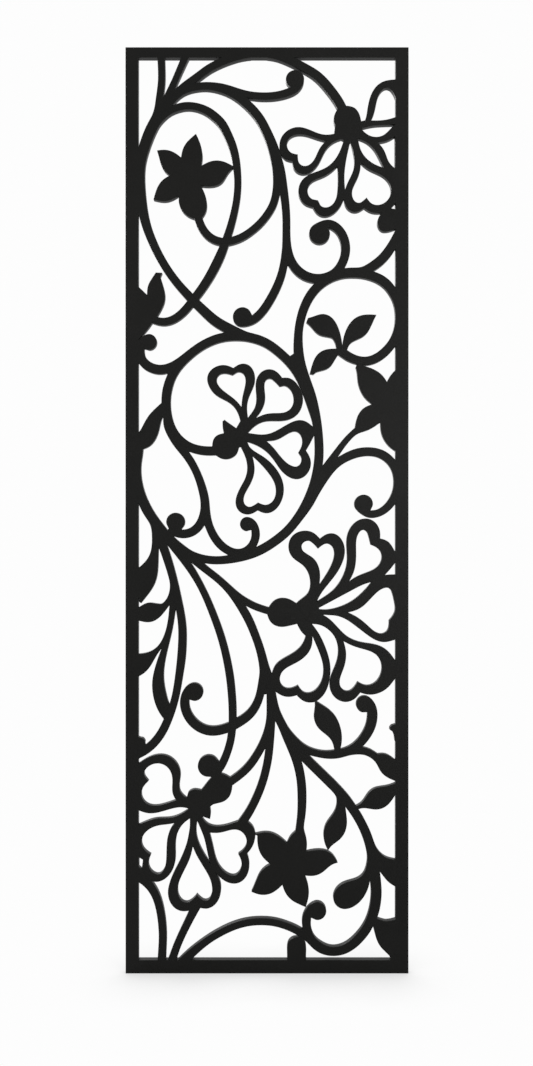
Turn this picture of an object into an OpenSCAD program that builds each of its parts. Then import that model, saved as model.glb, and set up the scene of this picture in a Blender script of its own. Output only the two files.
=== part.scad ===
// Garden screen with cut vine scrollwork in a flat bar frame.
// Frame: x to the right, z up, the front faces -y. The foot stands on z = 0.

/* [Screen] */
// Overall width of the screen
screen_w = 550; // [400:5:800]
// Overall height of the screen
screen_h = 1800; // [1400:10:2400]
// Depth of the frame bars and thickness of the cut plate
depth = 12; // [12:0.5:20]

/* [Frame] */
// Face width of the two stiles
stile_w = 25; // [20:0.5:35]
// Face width of the top rail
top_w = 20; // [16:0.5:35]
// Face width of the bottom rail
foot_w = 26; // [22:0.5:40]

/* [Scrollwork] */
// Width of a plain vine
vine_w = 16; // [12:0.5:20]
// Narrowest gap that the cutting beam leaves open
beam_w = 0.4; // [0.2:0.1:1]
// Largest gap between a drawn curve and its straight steps
curve_tol = 0.6; // [0.1:0.05:1]

/* [Screws] */
// Thread diameter of the countersunk frame screws
screw_d = 5; // [4:0.5:6]
// Head diameter of the countersunk frame screws
head_d = 9.6; // [7.5:0.1:11]
// Width across the flats of the hex socket in the heads
socket_w = 3; // [2.5:0.5:4]
// Depth of the hex socket
socket_deep = 1.9; // [1.5:0.1:2.5]
// Clearance round a screw in its through hole
screw_gap = 0.25; // [0.1:0.05:0.5]
// Thread reach of the corner screws into a rail end
corner_reach = 20; // [12:1:30]
// Thread reach of the panel screws into the cut plate
panel_reach = 10; // [6:0.5:12]

/* [Fixing holes] */
// Wall diameter of the threaded holes under the bottom rail
fix_d = 5; // [4:0.1:6.8]
// Depth of the threaded holes
fix_deep = 15; // [8:0.5:20]
// Distance between the two threaded holes
fix_pitch = 400; // [200:5:500]

/* [Hidden] */
grid_w = 283;
grid_h = 927;
square_x = screen_w / grid_w;
square_z = screen_h / grid_h;
inner_w = screen_w - 2 * stile_w;
inner_h = screen_h - top_w - foot_w;
screw_r = screw_d / 2;
head_r = head_d / 2;
// Play below the tip of a screw
tip_room = 2;
// Heads sit this far under the outer edge
head_sink = 0.3;
// Heights of the panel screws in squares, in the widest lands at each stile, and their place at the foot
left_lands = [98.8, 312, 360, 630, 821];
right_lands = [36, 304, 416.5, 561, 759.5];
foot_land = 29.5;
round_fn = 48;
ball_fn = 40;
cut_over = 1;
bar_grey = [0.19, 0.19, 0.185];
plate_grey = [0.16, 0.16, 0.155];
screw_grey = [0.1, 0.1, 0.1];

// ---- curves ----
// The scrollwork is drawn on squared paper: grid_w squares wide and grid_h high over the whole screen.
// x runs right from the middle of the screen and y up from its foot.

function clamp(v, low, high) = min(max(v, low), high);

function unit(v) = v / max(norm(v), 0.0001);

function on_screen(points) = [for (q = points) [q[0] * square_x, q[1] * square_z]];

function turn_between(a, b) = acos(clamp(unit(a) * unit(b), -1, 1));

// Slope at an inner point: the slopes of its two spans, each weighted by the length of the other one
function inner_slope(p, i) =
    let (before = p[i] - p[i - 1], after = p[i + 1] - p[i], a = norm(before), b = norm(after))
    (before / a * b + after / b * a) / (a + b);

// Slope at any point: at the two ends the curve keeps the bend of its last span
function slope(p, i) =
    let (last = len(p) - 1)
    last == 1 ? unit(p[1] - p[0])
    : i == 0 ? 2 * unit(p[1] - p[0]) - inner_slope(p, 1)
    : i == last ? 2 * unit(p[last] - p[last - 1]) - inner_slope(p, last - 1)
    : inner_slope(p, i);

// Straight steps that a span needs to stay within curve_tol of the smooth curve
function span_steps(p, i) =
    let (chord = p[i + 1] - p[i],
         turn = turn_between(slope(p, i), chord) + turn_between(chord, slope(p, i + 1)))
    max(1, ceil(sqrt(norm(chord) * turn * PI / 180 / (8 * curve_tol))));

// Point at the share t of a span, on the cubic that has the slopes of both its ends
function span_point(p, i, t) =
    let (h = norm(p[i + 1] - p[i]), s = 1 - t)
    p[i] * (s * s * (1 + 2 * t)) + p[i + 1] * (t * t * (3 - 2 * t))
    + slope(p, i) * (h * s * s * t) - slope(p, i + 1) * (h * s * t * t);

// Smooth curve through every listed point
function curve(p) =
    concat([for (i = [0 : len(p) - 2]) let (n = span_steps(p, i)) for (k = [0 : n - 1]) span_point(p, i, k / n)],
           [p[len(p) - 1]]);

// Value at the share t along an evenly spaced list
function along(list, t) =
    let (f = t * (len(list) - 1), i = min(floor(f), len(list) - 2))
    len(list) == 1 ? list[0] : list[i] + (list[i + 1] - list[i]) * (f - i);

function running_sum(list, i = 0, sum = 0, out = []) =
    i == len(list) ? concat(out, [sum]) : running_sum(list, i + 1, sum + list[i], concat(out, [sum]));

// Length run at each point of a path
function lengths(c) = running_sum([for (i = [0 : len(c) - 2]) norm(c[i + 1] - c[i])]);

// Left-hand normal of a path at point i
function normal(c, i) =
    let (d = unit(c[min(i + 1, len(c) - 1)] - c[max(i - 1, 0)]))
    [-d[1], d[0]];

// Vine: a curve through the points, as wide as the shares of vine_w that are spread evenly along it
module vine(points, widths = [1]) {
    c = curve(on_screen(points));
    run = lengths(c);
    half = [for (r = run) vine_w / 2 * along(widths, r / run[len(run) - 1])];
    polygon(concat([for (i = [0 : len(c) - 1]) c[i] + normal(c, i) * half[i]],
                   [for (i = [len(c) - 1 : -1 : 0]) c[i] - normal(c, i) * half[i]]));
}

// Flat shape between smooth runs that meet in corners
module outline(runs) {
    polygon([for (run = runs) each curve(on_screen(run))]);
}

// Round end of a tendril, its radius in squares
module ball(at, r) {
    translate(on_screen([at])[0])
        circle(r = r * square_z, $fn = ball_fn);
}

// Stems that fan out from the knot near the top left corner
module corner_fan() {
    vine([[-106, 919], [-105.4, 905], [-105.5, 892], [-107.3, 878], [-110, 864]], [0.92, 0.88, 0.88, 0.95]);
    vine([[-81, 919], [-88.5, 902], [-93, 891.5], [-98, 881], [-103, 870]], [0.9, 0.8, 0.8, 0.9]);
    vine([[-104, 866], [-89.4, 882.4], [-79.4, 890.8], [-69.5, 897.8], [-60, 905], [-50, 910.5], [-38, 915.5],
          [-22, 920], [-6, 921.3], [10, 919], [25, 913], [38, 906.5], [50, 899], [60, 888.8], [68, 878.5],
          [74, 869], [78, 860]],
         [0.92, 0.92, 0.95, 1, 1, 1.12, 1.12]);
    outline([[[-117, 850], [-113.5, 862.5], [-108, 870]], [[-108, 870], [-99, 872]], [[-99, 872], [-88, 880], [-78, 886]],
             [[-78, 886], [-96, 868]], [[-96, 868], [-98, 860], [-105.3, 852.3]]]);
}

// Tendril with a ball at its end, below the top rail
module top_tendril() {
    vine([[-104, 868], [-90, 880], [-80, 885.5], [-70, 887.8], [-60, 888.6], [-50, 888], [-40, 886],
          [-30, 882.8], [-20, 880], [-10, 878.6], [0, 878.3], [10, 879.2], [20, 881.7], [28, 885.5],
          [33, 891]],
         [0.9, 0.9, 0.9, 0.85, 0.9, 0.95]);
    ball([28, 895], 9.3);
}

// Long vine that comes down from the tendril and turns back up into the star flower
module star_stem() {
    vine([[-62, 888.8], [-49, 886.8], [-34.6, 881.5], [-24.5, 874.5], [-14.4, 865], [-6.5, 854.9], [-0.6, 844.2], [3.5, 833], [7, 820],
          [9, 810], [10, 800], [10, 790], [9, 781], [6, 770], [0.5, 760.5], [-6, 752.3], [-14, 745],
          [-24, 738.1], [-34, 734], [-44, 732.6], [-52.3, 734.6], [-59.5, 739.6], [-65.4, 747.8], [-69.4, 759]],
         [0.9, 1.05, 1.08, 1.05, 1, 0.92, 0.88, 0.93, 1]);
}

// Outer vine of the left side, which leans on the stile and crosses down to the middle ring
module left_vine() {
    vine([[-102, 872], [-107.5, 860], [-113.5, 850], [-119, 838], [-123.5, 825], [-126.8, 811],
          [-127.6, 797], [-126.8, 782], [-124.5, 765], [-121, 750], [-115.5, 735], [-108.5, 720],
          [-97, 701], [-86, 687], [-74, 674], [-62, 662.5], [-51, 653], [-38, 645.5], [-24, 639.5], [-10, 634]],
         [1.45, 1.38, 1.3, 1.3, 1.1, 1, 1, 1.15, 1.3, 0.9]);
}

// Inner vine of the left side, which loops over the star flower and ends in the pair of leaves
module loop_vine() {
    vine([[-102, 861], [-90, 866.8], [-80, 868.8], [-70, 867.6], [-60, 863.8], [-51.5, 857.5],
          [-44.8, 850.7], [-39.3, 840.1], [-34.6, 829.2], [-30.6, 812], [-29.2, 796], [-30, 778],
          [-33.3, 760], [-38, 743], [-43, 728], [-50.5, 711], [-58, 697], [-68, 682], [-78, 669],
          [-86, 660.5], [-95, 654.5], [-104, 652.5], [-113, 654.5]],
         [0.9, 0.88, 1.05, 1, 0.88, 0.85, 0.95, 1.15, 1.05, 0.98, 0.9]);
}

// Vine on the centre line that ends in a ball above the middle ring
module ball_vine() {
    vine([[-4, 851], [1, 840], [6.5, 827], [11.2, 813], [14.4, 800], [16, 790], [17.6, 778], [19, 764],
          [19.5, 750], [19.4, 738], [18.9, 726], [17.4, 713], [14.5, 700], [9.6, 687.2], [3, 674.6],
          [-4.5, 663.4], [-11.6, 656.3], [-20, 652]],
         [1.1, 1.2, 1.02, 0.97, 0.97, 1, 1.05, 1]);
    ball([-24.5, 657.4], 9.8);
}

// Five-petalled star flower inside the loop of the left side
module star_flower_top() {
    outline([
        [[-65.8, 808.5], [-64.4, 816], [-65.2, 825], [-67.5, 833], [-71, 840.5]],
        [[-71, 840.5], [-78, 834.5], [-82.5, 829], [-85, 823], [-86, 817]],
        [[-86, 817], [-90, 820.3], [-95, 823], [-101, 824.6], [-110, 823.8]],
        [[-110, 823.8], [-108, 817.5], [-106.5, 811], [-103.5, 804.5], [-97, 799]],
        [[-97, 799], [-102.5, 796], [-107, 791.5], [-110.5, 785], [-113.5, 775]],
        [[-113.5, 775], [-108, 773.7], [-102, 773], [-96, 774.5], [-88, 779]],
        [[-88, 779], [-88.6, 773], [-86.5, 766.5], [-81.5, 760], [-75.5, 756.2], [-70, 755], [-64, 757.5],
         [-60.8, 763.5], [-60, 770.5], [-61.5, 778.5], [-66, 788.5]],
        [[-66, 788.5], [-57, 788], [-48, 790], [-43, 794], [-40.5, 799.5], [-33, 807.8]],
        [[-33, 807.8], [-41, 812], [-50, 814], [-58, 812.5], [-65.8, 808.5]]
    ]);
}

// Rosette under the top right corner: a ball-shaped calyx with heart-shaped petals
module rosette_top() {
    // calyx
    outline([
        [[74, 872], [78.5, 868.7], [84, 868.3], [90, 864.5], [93, 858.5], [94.5, 852]],
        [[94.5, 852], [95, 840], [88, 833]],
        [[88, 833], [78, 834], [67.3, 840.5]],
        [[67.3, 840.5], [66.8, 845], [68.2, 848.5]],
        [[68.2, 848.5], [66.6, 853], [67, 859], [70, 864.5]]
    ]);
    // upper left heart
    difference() {
        outline([
            [[76, 843], [67, 840.5], [60, 839.5], [52, 840.8], [43, 844.5], [36, 846.8], [30, 847.4],
             [23.5, 845.5], [17.4, 841.3], [13.5, 835.3], [12.2, 828], [13.8, 820.3], [18.7, 814.8], [25.3, 813.3]],
            [[25.3, 813.3], [25.7, 808.5], [28.5, 803.7], [33, 801], [38, 800.5], [44, 803], [49.5, 807.8],
             [54, 815], [58, 823.5], [64, 830.5], [77, 836.5]]
        ]);
        outline([
            [[59, 833.5], [50, 835.8], [42, 838.8], [34, 840.2], [27, 839.3], [22, 836], [20, 830.5],
             [21, 825], [25, 821], [30.8, 819.8]],
            [[30.8, 819.8], [31, 814], [33.5, 809.8], [38, 808.3], [43, 810], [47, 814.5], [50.5, 822],
             [54, 828.5], [59, 833.5]]
        ]);
    }
    // lower left heart
    difference() {
        outline([
            [[80, 842], [76.7, 834], [74, 826], [70, 818], [64, 810.5], [57, 805.7], [49, 802.5],
             [41, 799.3], [35.5, 794.8], [32, 788.5], [31.4, 782], [33.3, 775.5], [38, 770], [45.8, 767.3]],
            [[45.8, 767.3], [48.5, 762.5], [53, 759], [58.5, 757.9], [65, 760], [71, 765], [76.5, 774]],
            [[76.5, 774], [78.2, 780], [77.9, 787], [77.3, 796], [78, 806], [79.5, 816], [83.6, 834]]
        ]);
        outline([
            [[70.5, 808.5], [66, 804], [60, 799.8], [54, 796.8], [48, 794.7], [43, 791], [40.7, 785],
             [41.3, 779.5], [45, 775.2], [51, 774]],
            [[51, 774], [52.5, 770], [56, 767.3], [60, 767], [64.5, 769], [68, 773.5], [70, 780.5],
             [70.8, 790], [71, 800], [70.5, 808.5]]
        ]);
    }
    // lower right heart, closed by the frame
    difference() {
        outline([
            [[83.6, 834], [85.7, 825], [87.4, 815], [87, 807], [84, 798.5], [80, 790.8], [78, 785],
             [77, 779], [77, 774]],
            [[77, 774], [78.5, 768.5], [82, 764.5], [87, 762.3], [92, 763], [97.3, 766.4]],
            [[97.3, 766.4], [103, 762.5], [109, 761.3], [116, 761.5]],
            [[116, 761.5], [132, 761.5]],
            [[132, 761.5], [132, 843]],
            [[132, 843], [132, 850], [125.5, 848.8]],
            [[125.5, 848.8], [120, 841.9], [115, 838.4], [110, 837.4], [104, 838.2], [99, 840.6], [94.5, 845]],
            [[94.5, 845], [84, 842], [83.6, 834]]
        ]);
        outline([
            [[93.6, 812], [93.2, 803.5], [90, 795], [86.5, 788], [85, 781.5], [86, 775.8], [89, 772.3],
             [92, 771.5], [96, 773.3], [99.6, 776.8]],
            [[99.6, 776.8], [102.5, 772.3], [107, 769.7], [112.5, 769.5], [118.5, 772.3], [122.8, 777.8],
             [124.2, 784], [122.5, 791], [118, 796.8], [110, 801.5], [102.5, 804.8], [93.6, 812]]
        ]);
        outline([
            [[91, 836], [92, 830], [94.5, 822.8], [99.5, 816], [106, 811], [117, 806.5]],
            [[117, 806.5], [113.8, 812.5], [110, 820.5], [105, 827.7], [99, 832.7], [91, 836]]
        ]);
        outline([
            [[110.5, 832], [115.5, 827], [119, 820], [121.5, 812.5], [128, 806]],
            [[128, 806], [128, 838]],
            [[128, 838], [123, 834.8], [117.5, 833], [110.5, 832]]
        ]);
        outline([
            [[123.7, 766], [128.5, 771.5]],
            [[128.5, 771.5], [128.5, 765.2]],
            [[128.5, 765.2], [123.7, 766]]
        ]);
    }
    // bar to the frame
    outline([
        [[90, 851.5], [94.5, 853.2], [99.5, 854.4], [104, 853.9], [131, 857.9]],
        [[131, 857.9], [131, 850]],
        [[131, 850], [120, 849.6], [108, 849], [92, 845.5]]
    ]);
    // arched petal against the frame
    outline([
        [[94.5, 852.3], [98, 854], [99.8, 860], [101.1, 869.7], [103.9, 879.4], [108.3, 887], [114.2, 892],
         [121.5, 894.3], [131, 895]],
        [[131, 895], [131, 872]],
        [[131, 872], [128, 878], [125, 884], [120.5, 886.8], [115, 884.3], [111.3, 878], [109, 869.5],
         [107.3, 861], [103.5, 853]]
    ]);
    // bulb on the frame
    outline([
        [[118, 764], [113, 760], [110.5, 754], [110.9, 748.3], [114.3, 743.7], [119, 742.6], [125, 744.2],
         [132, 746.5]],
        [[132, 746.5], [132, 764]]
    ]);
}

// Hook under the rosette, with a ball in its curl
module rosette_hook() {
    vine([[51, 747], [56, 750], [62, 750.8], [68.5, 748], [73, 743.5], [77, 736], [78.6, 728], [78, 719],
          [75, 711], [69.8, 703.1], [61.2, 697.8], [52, 695.8], [42.8, 697], [34.5, 701], [27.4, 708],
          [22.4, 717.6], [20, 729], [19.3, 740]],
         [0.9, 1, 1.1, 1.1, 1.1, 1.12, 1.12, 1.08, 1]);
    ball([52.6, 741], 10.6);
}

// Arc that rises from the right ring to the frame
module right_arc() {
    vine([[136, 749], [129, 735.3], [121.9, 723.8], [113.8, 714.4], [104.6, 707.6], [94.4, 702.4], [84, 701]],
         [1.15, 1.15, 1.15, 1.05]);
}

// Ring on the right side, and the sprout of three leaves at its foot
module right_ring() {
    vine([[32.8, 611], [31, 622], [31, 632], [31.6, 643], [33.4, 654], [36.5, 665], [41, 675], [47, 684], [54, 691],
          [62, 696.3], [71, 700], [81, 701.8], [91, 701.7], [101, 700], [111.2, 696.3], [119.9, 690.3],
          [126.5, 681.7], [131.3, 671], [132.9, 659], [131.6, 645.6], [126.7, 633.2], [119, 623.6], [109.8, 616.6],
          [99.1, 613.2], [89, 614.6], [80, 618.8], [73, 624]],
         [1.1, 1.05, 1.1, 1.15, 1.2, 1.15, 1.1, 1.1, 1.1, 1.05, 1.1]);
}

module ring_sprout() {
    // left leaf
    outline([
        [[69.7, 622], [69.3, 628], [67.5, 633.5], [64, 637.2], [58, 637.6], [51.5, 639.8], [47, 644],
         [43.5, 649], [39.3, 652]],
        [[39.3, 652], [41, 656.3]],
        [[41, 656.3], [45, 656.8], [50, 659.4], [56, 660.5], [62, 658.8], [67.5, 653.8], [71.5, 646],
         [74, 638], [75.5, 628]],
        [[75.5, 628], [75.5, 620]]
    ]);
    // right leaf
    outline([
        [[75.5, 620], [75.8, 632], [77.5, 640], [80.5, 647.5], [85, 653.5], [91, 658], [99, 659.7],
         [109.5, 659.4]],
        [[109.5, 659.4], [105.5, 651.5], [102.5, 644.5], [98, 639], [91.5, 635.3], [84, 631.8],
         [81.3, 628], [80.3, 620]]
    ]);
    // leaf that hangs outside the ring
    outline([
        [[74, 626], [66, 625.5], [59, 625], [53.5, 622.5], [48.5, 617.5], [45.3, 610], [42.7, 600.5]],
        [[42.7, 600.5], [46.3, 599.8]],
        [[46.3, 599.8], [49.5, 603], [55, 603.6], [61, 605.7], [65.5, 610], [69, 617], [75, 623]]
    ]);
}

// Ring in the middle, with the vine that leaves it down the right side
module middle_ring() {
    vine([[46.5, 559], [43.5, 570], [40, 581], [35, 593], [28, 605.3], [20, 615], [10, 624], [0, 631], [-14, 636.5], [-30, 638.3],
          [-45, 637], [-57, 633], [-68, 627], [-78, 619.3], [-87, 610.5], [-94.5, 600], [-99, 588],
          [-101, 576], [-100.5, 563], [-97.8, 551], [-93, 541], [-86, 533], [-77, 527], [-66, 524],
          [-50, 523.5]],
         [0.9, 1.05, 1.1, 1.1, 1.1, 1.05, 1.1, 1.15, 1.1, 1.1, 1.1]);
    outline([[[21, 617], [27, 621]], [[27, 621], [30, 610]], [[30, 610], [21, 617]]]);
}

module middle_vine() {
    vine([[31.4, 640], [31.6, 628], [33, 615.5], [36, 603], [40, 591], [44, 579.5], [47.3, 566], [49.8, 553],
          [51.6, 539], [52.2, 525], [51.6, 512], [49.7, 500], [46.9, 489], [43, 478.7], [38.7, 469.5],
          [33.7, 460.6], [27.5, 451.5], [19.9, 442.7], [10.2, 434.6], [0, 427.6], [-11, 421.8], [-25, 417.2],
          [-40, 414.4], [-55, 413.8], [-69, 416.4], [-81, 421.6], [-92, 429.8], [-101, 438.3], [-109, 448],
          [-116, 457.5], [-122, 468], [-127, 480], [-130.3, 494], [-131, 508], [-129, 522]],
         [1.05, 1.1, 1.15, 1.15, 1.05, 1.1, 1.15, 1.1, 1.15, 1.15, 1.1, 1, 1, 1.12, 1.25, 1.25, 1.2, 1.2]);
}

// Small hook on the left stile beside the middle ring
module ring_hook() {
    vine([[-80, 618], [-88, 611.5], [-98, 606.3], [-108, 604.7], [-116.5, 607], [-123.5, 612], [-127.3, 619.5],
          [-127, 628], [-121, 635]],
         [1.15, 1.15, 1.15, 1.1]);
    ball([-118.3, 632.3], 8.1);
}

// Leaf pair where the inner vine meets the left stile
module stile_leaves() {
    outline([
        [[-132, 690], [-129, 688], [-124.5, 684], [-120, 679.5]],
        [[-120, 679.5], [-119.6, 687], [-117.5, 692.5], [-114.5, 696.5], [-111.3, 701.8]],
        [[-111.3, 701.8], [-105, 701.5]],
        [[-105, 701.5], [-106.6, 697.5], [-105, 692], [-102.8, 685], [-101.9, 678], [-103, 670.5],
         [-106, 664.5], [-109.5, 658]],
        [[-109.5, 658], [-114.3, 652]],
        [[-114.3, 652], [-118.5, 646], [-123, 640.5], [-132, 631]]
    ]);
    // leaf under the ring
    outline([
        [[-100, 578], [-106, 571], [-111, 566.5], [-117, 560.5], [-122, 553], [-127.5, 541.5]],
        [[-127.5, 541.5], [-132, 541]],
        [[-132, 541], [-132, 524.5]],
        [[-132, 518], [-124, 520], [-124, 525], [-118.5, 527], [-113, 533], [-109, 541], [-107, 549], [-105.3, 556.5]],
        [[-105.3, 556.5], [-101, 562]]
    ]);
}

// Rosette in the middle ring: a calyx with four heart-shaped petals
module rosette_middle() {
    // calyx and its spur
    outline([
        [[-21, 560], [-26.3, 554], [-30.8, 546.2]],
        [[-30.8, 546.2], [-36, 549.7], [-42, 554]],
        [[-42, 554.6], [-44.5, 553]],
        [[-44.5, 553], [-44.7, 547.5], [-43.3, 541]],
        [[-43.3, 541], [-49, 539.7], [-53.5, 535.5], [-55, 530], [-54, 523], [-50.5, 518], [-45, 515.3],
         [-38, 515.4], [-32, 518.3], [-29, 522.5], [-28, 527]],
        [[-28, 527], [-20, 530], [-19.5, 541], [-19, 552], [-21, 560]]
    ]);
    // upper left heart
    difference() {
        outline([
            [[-24, 545], [-27.3, 555], [-29, 561], [-32.5, 566.7], [-38, 572], [-46, 576], [-52.5, 580.3],
             [-57.5, 587], [-60, 594.5], [-58.4, 601.3], [-54, 606], [-48, 608.7], [-41, 609.2], [-33.7, 606.3]],
            [[-33.7, 606.3], [-29, 609.6], [-23.5, 610.8], [-17.5, 608.8], [-13.5, 603.5], [-11.9, 596],
             [-13, 589], [-16.3, 581.5], [-19.3, 573.5], [-20, 566], [-19, 556]]
        ]);
        outline([
            [[-25.6, 567.5], [-30, 573], [-37, 578.6], [-44, 584], [-48.7, 589], [-50.4, 594.3],
             [-48.3, 599], [-44, 601], [-39.5, 600.8], [-34.6, 599.2]],
            [[-34.6, 599.2], [-32, 601.3], [-28, 602.4], [-24, 600.8], [-21.7, 596.5], [-21.7, 590.5],
             [-23.4, 583], [-25, 575.5], [-25.6, 567.5]]
        ]);
    }
    // upper right heart
    difference() {
        outline([
            [[-19, 551], [-18.7, 558], [-14.7, 562], [-11.6, 568.5], [-10.7, 576], [-11.3, 584],
             [-11.4, 591], [-9.8, 597], [-5.5, 602.5], [0.5, 605], [7, 604.2], [11.7, 601], [15.2, 596.5]],
            [[15.2, 596.5], [21, 596.8], [27, 593.7], [32, 587.3], [35.5, 580], [35.8, 571.5],
             [33, 563.3], [27.5, 557.5], [19, 554], [10, 553.3], [2, 553.4], [-5, 552.2], [-11, 549],
             [-19, 541.5]],
            [[-19, 541.5], [-21, 545], [-19, 551]]
        ]);
        outline([
            [[-11.5, 556], [-7.6, 560.7], [-4, 567], [-1.8, 574], [-1.9, 582], [-2.7, 588.5],
             [-1.4, 593.7], [2, 595.8], [6, 594.6], [9.3, 591], [12.5, 587.8]],
            [[12.5, 587.8], [17.5, 588.8], [22, 586.3], [25.3, 581.3], [26.5, 574.5], [25.2, 568],
             [21, 563.3], [15, 561.3], [7, 561.3], [-1, 560.3], [-6.5, 558.5], [-11.5, 556]]
        ]);
    }
    // right heart, which leans on the vine
    difference() {
        outline([
            [[-22, 541.7], [-12, 540.3], [-4, 539.6], [3, 540.8], [11, 544.5], [20, 549.7], [28, 553.4],
             [35, 554.2], [41, 551.7], [46, 547.5]],
            [[46, 547.5], [50, 543], [47, 538.5]],
            [[47, 538.5], [44.5, 533.3], [42, 528.3], [39, 523.7]],
            [[39, 523.7], [42.3, 518.5], [44, 512], [43, 505.3], [39.3, 499.3], [33.5, 495.6],
             [27, 495.2], [20.5, 498.2], [14.5, 503.3], [9, 511], [3.5, 518.5], [-3, 524.4],
             [-10.5, 529], [-20.5, 532.7]]
        ]);
        outline([
            [[-0.5, 533.3], [7, 533.7], [14, 536.3], [20, 540], [25.5, 542.7], [30.5, 542.2],
             [34, 538.5], [35.3, 533], [34, 526.5], [31.2, 521.7]],
            [[31.2, 521.7], [33.8, 518.5], [34.3, 513.5], [32.3, 509.3], [28.5, 507.5], [23.5, 509],
             [17.5, 513.5], [11.5, 520.3], [6, 527.3], [-0.5, 533.3]]
        ]);
    }
    // lower heart
    difference() {
        outline([
            [[-20.5, 533], [-17.3, 527], [-12, 522.7], [-5, 518.6], [2, 513.2], [8.5, 506.3],
             [13.5, 498.5], [16.5, 489.5], [16.6, 480.5], [14, 472], [8.5, 464.5], [2, 461],
             [-3.5, 461], [-9.3, 463.7]],
            [[-9.3, 463.7], [-14, 460.6], [-19.5, 459.5], [-26, 461.3], [-30.3, 466], [-31.6, 472.5],
             [-29.8, 480], [-26.3, 487.7], [-22, 495.5], [-20, 503], [-20.2, 511], [-22.3, 518.7],
             [-26.5, 527.5]]
        ]);
        outline([
            [[-14.4, 518], [-12.7, 510], [-12.5, 502.5], [-14.8, 494.3], [-18.5, 486.5], [-22.3, 480],
             [-23.6, 474], [-21.8, 469.4], [-17.8, 467.3], [-13.3, 468.6], [-9, 471.7]],
            [[-9, 471.7], [-5, 469.6], [-0.5, 469.3], [4.5, 471.8], [7.8, 477], [8.8, 483.5],
             [7.6, 490.8], [4, 497.6], [-1, 504.2], [-7, 511], [-14.4, 518]]
        ]);
    }
}

// Lily on the right stile, between the right ring and the scroll below it
module stile_lily() {
    outline([
        [[94.5, 612], [91, 611], [88.8, 607.3]],
        [[88.8, 607.3], [90.3, 602.5], [90.6, 594], [92.8, 586], [96.5, 578.5], [105.3, 570]],
        [[105.3, 570], [99, 567.8], [93.5, 563.3], [90, 556], [88, 546.5]],
        [[88, 546.5], [90, 541]],
        [[90, 541], [97, 542.5], [103, 544.9], [108.5, 548.3], [113.6, 551.8]],
        [[113.6, 551.8], [113.8, 545], [115.8, 537.5], [120, 530.5], [128.5, 523]],
        [[128.5, 523], [132, 523]],
        [[132, 523], [132, 607]],
        [[132, 607], [126, 602.3], [122.6, 597.6], [120, 592.3]],
        [[120, 592.3], [117, 597.3], [111.5, 602.3], [104.5, 606], [94.5, 609.3]],
        [[94.5, 609.3], [94.5, 612]]
    ]);
}

// Scroll on the right stile, and the branch that carries the lily
module stile_scroll() {
    vine([[37, 460.5], [43, 471], [48.3, 481.4], [53.8, 490.5], [59.9, 499.6], [66.5, 507.7], [73.8, 513.9], [82.5, 518.5], [92, 521.7],
          [102, 522.6], [112.4, 520.9], [121.2, 515.7], [128, 507.2], [131, 496], [130.5, 485],
          [127, 475.5], [120.5, 467], [112.5, 461.4], [103.5, 459.9], [96, 463.4]],
         [0.9, 0.95, 1, 1, 1.05, 1.1, 1.05, 1.05, 1.05, 1.05, 1, 0.9, 0.95]);
    ball([96.7, 470.2], 9.4);
    vine([[50, 491], [59, 506.6], [64.5, 514.3], [69.5, 521.1], [74.5, 528], [80.5, 535.3], [86.5, 541.3],
          [93, 547]],
         [1, 1, 0.9, 0.8, 0.75, 0.75]);
}

// The two hooks that end the tail of the middle ring
module ring_tail() {
    vine([[-101, 556], [-96, 541.5], [-88, 528.3], [-80, 518.3], [-73, 506.8], [-67.4, 493.8], [-63.4, 480], [-62, 467],
          [-64, 456.5], [-68.5, 447.8], [-75, 442.3], [-83, 440], [-91, 441.3], [-98, 446]],
         [1.1, 1.1, 1, 0.95, 0.98, 1.1, 1.1, 1.05, 1.05]);
    ball([-91.5, 452], 9.5);
    vine([[-66, 488], [-62.6, 475], [-61, 462], [-58.7, 450], [-54.3, 439.8], [-48, 430.7], [-40.5, 424.5], [-32, 421],
          [-23.5, 421.7], [-16.5, 426.5], [-12.5, 433], [-11.2, 440.5], [-12.7, 447.5], [-17, 453.5]],
         [0.9, 0.97, 1, 1, 1.03, 1.05, 1.05, 1.05, 1, 0.92]);
    ball([-19.8, 450], 7.3);
}

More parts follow.
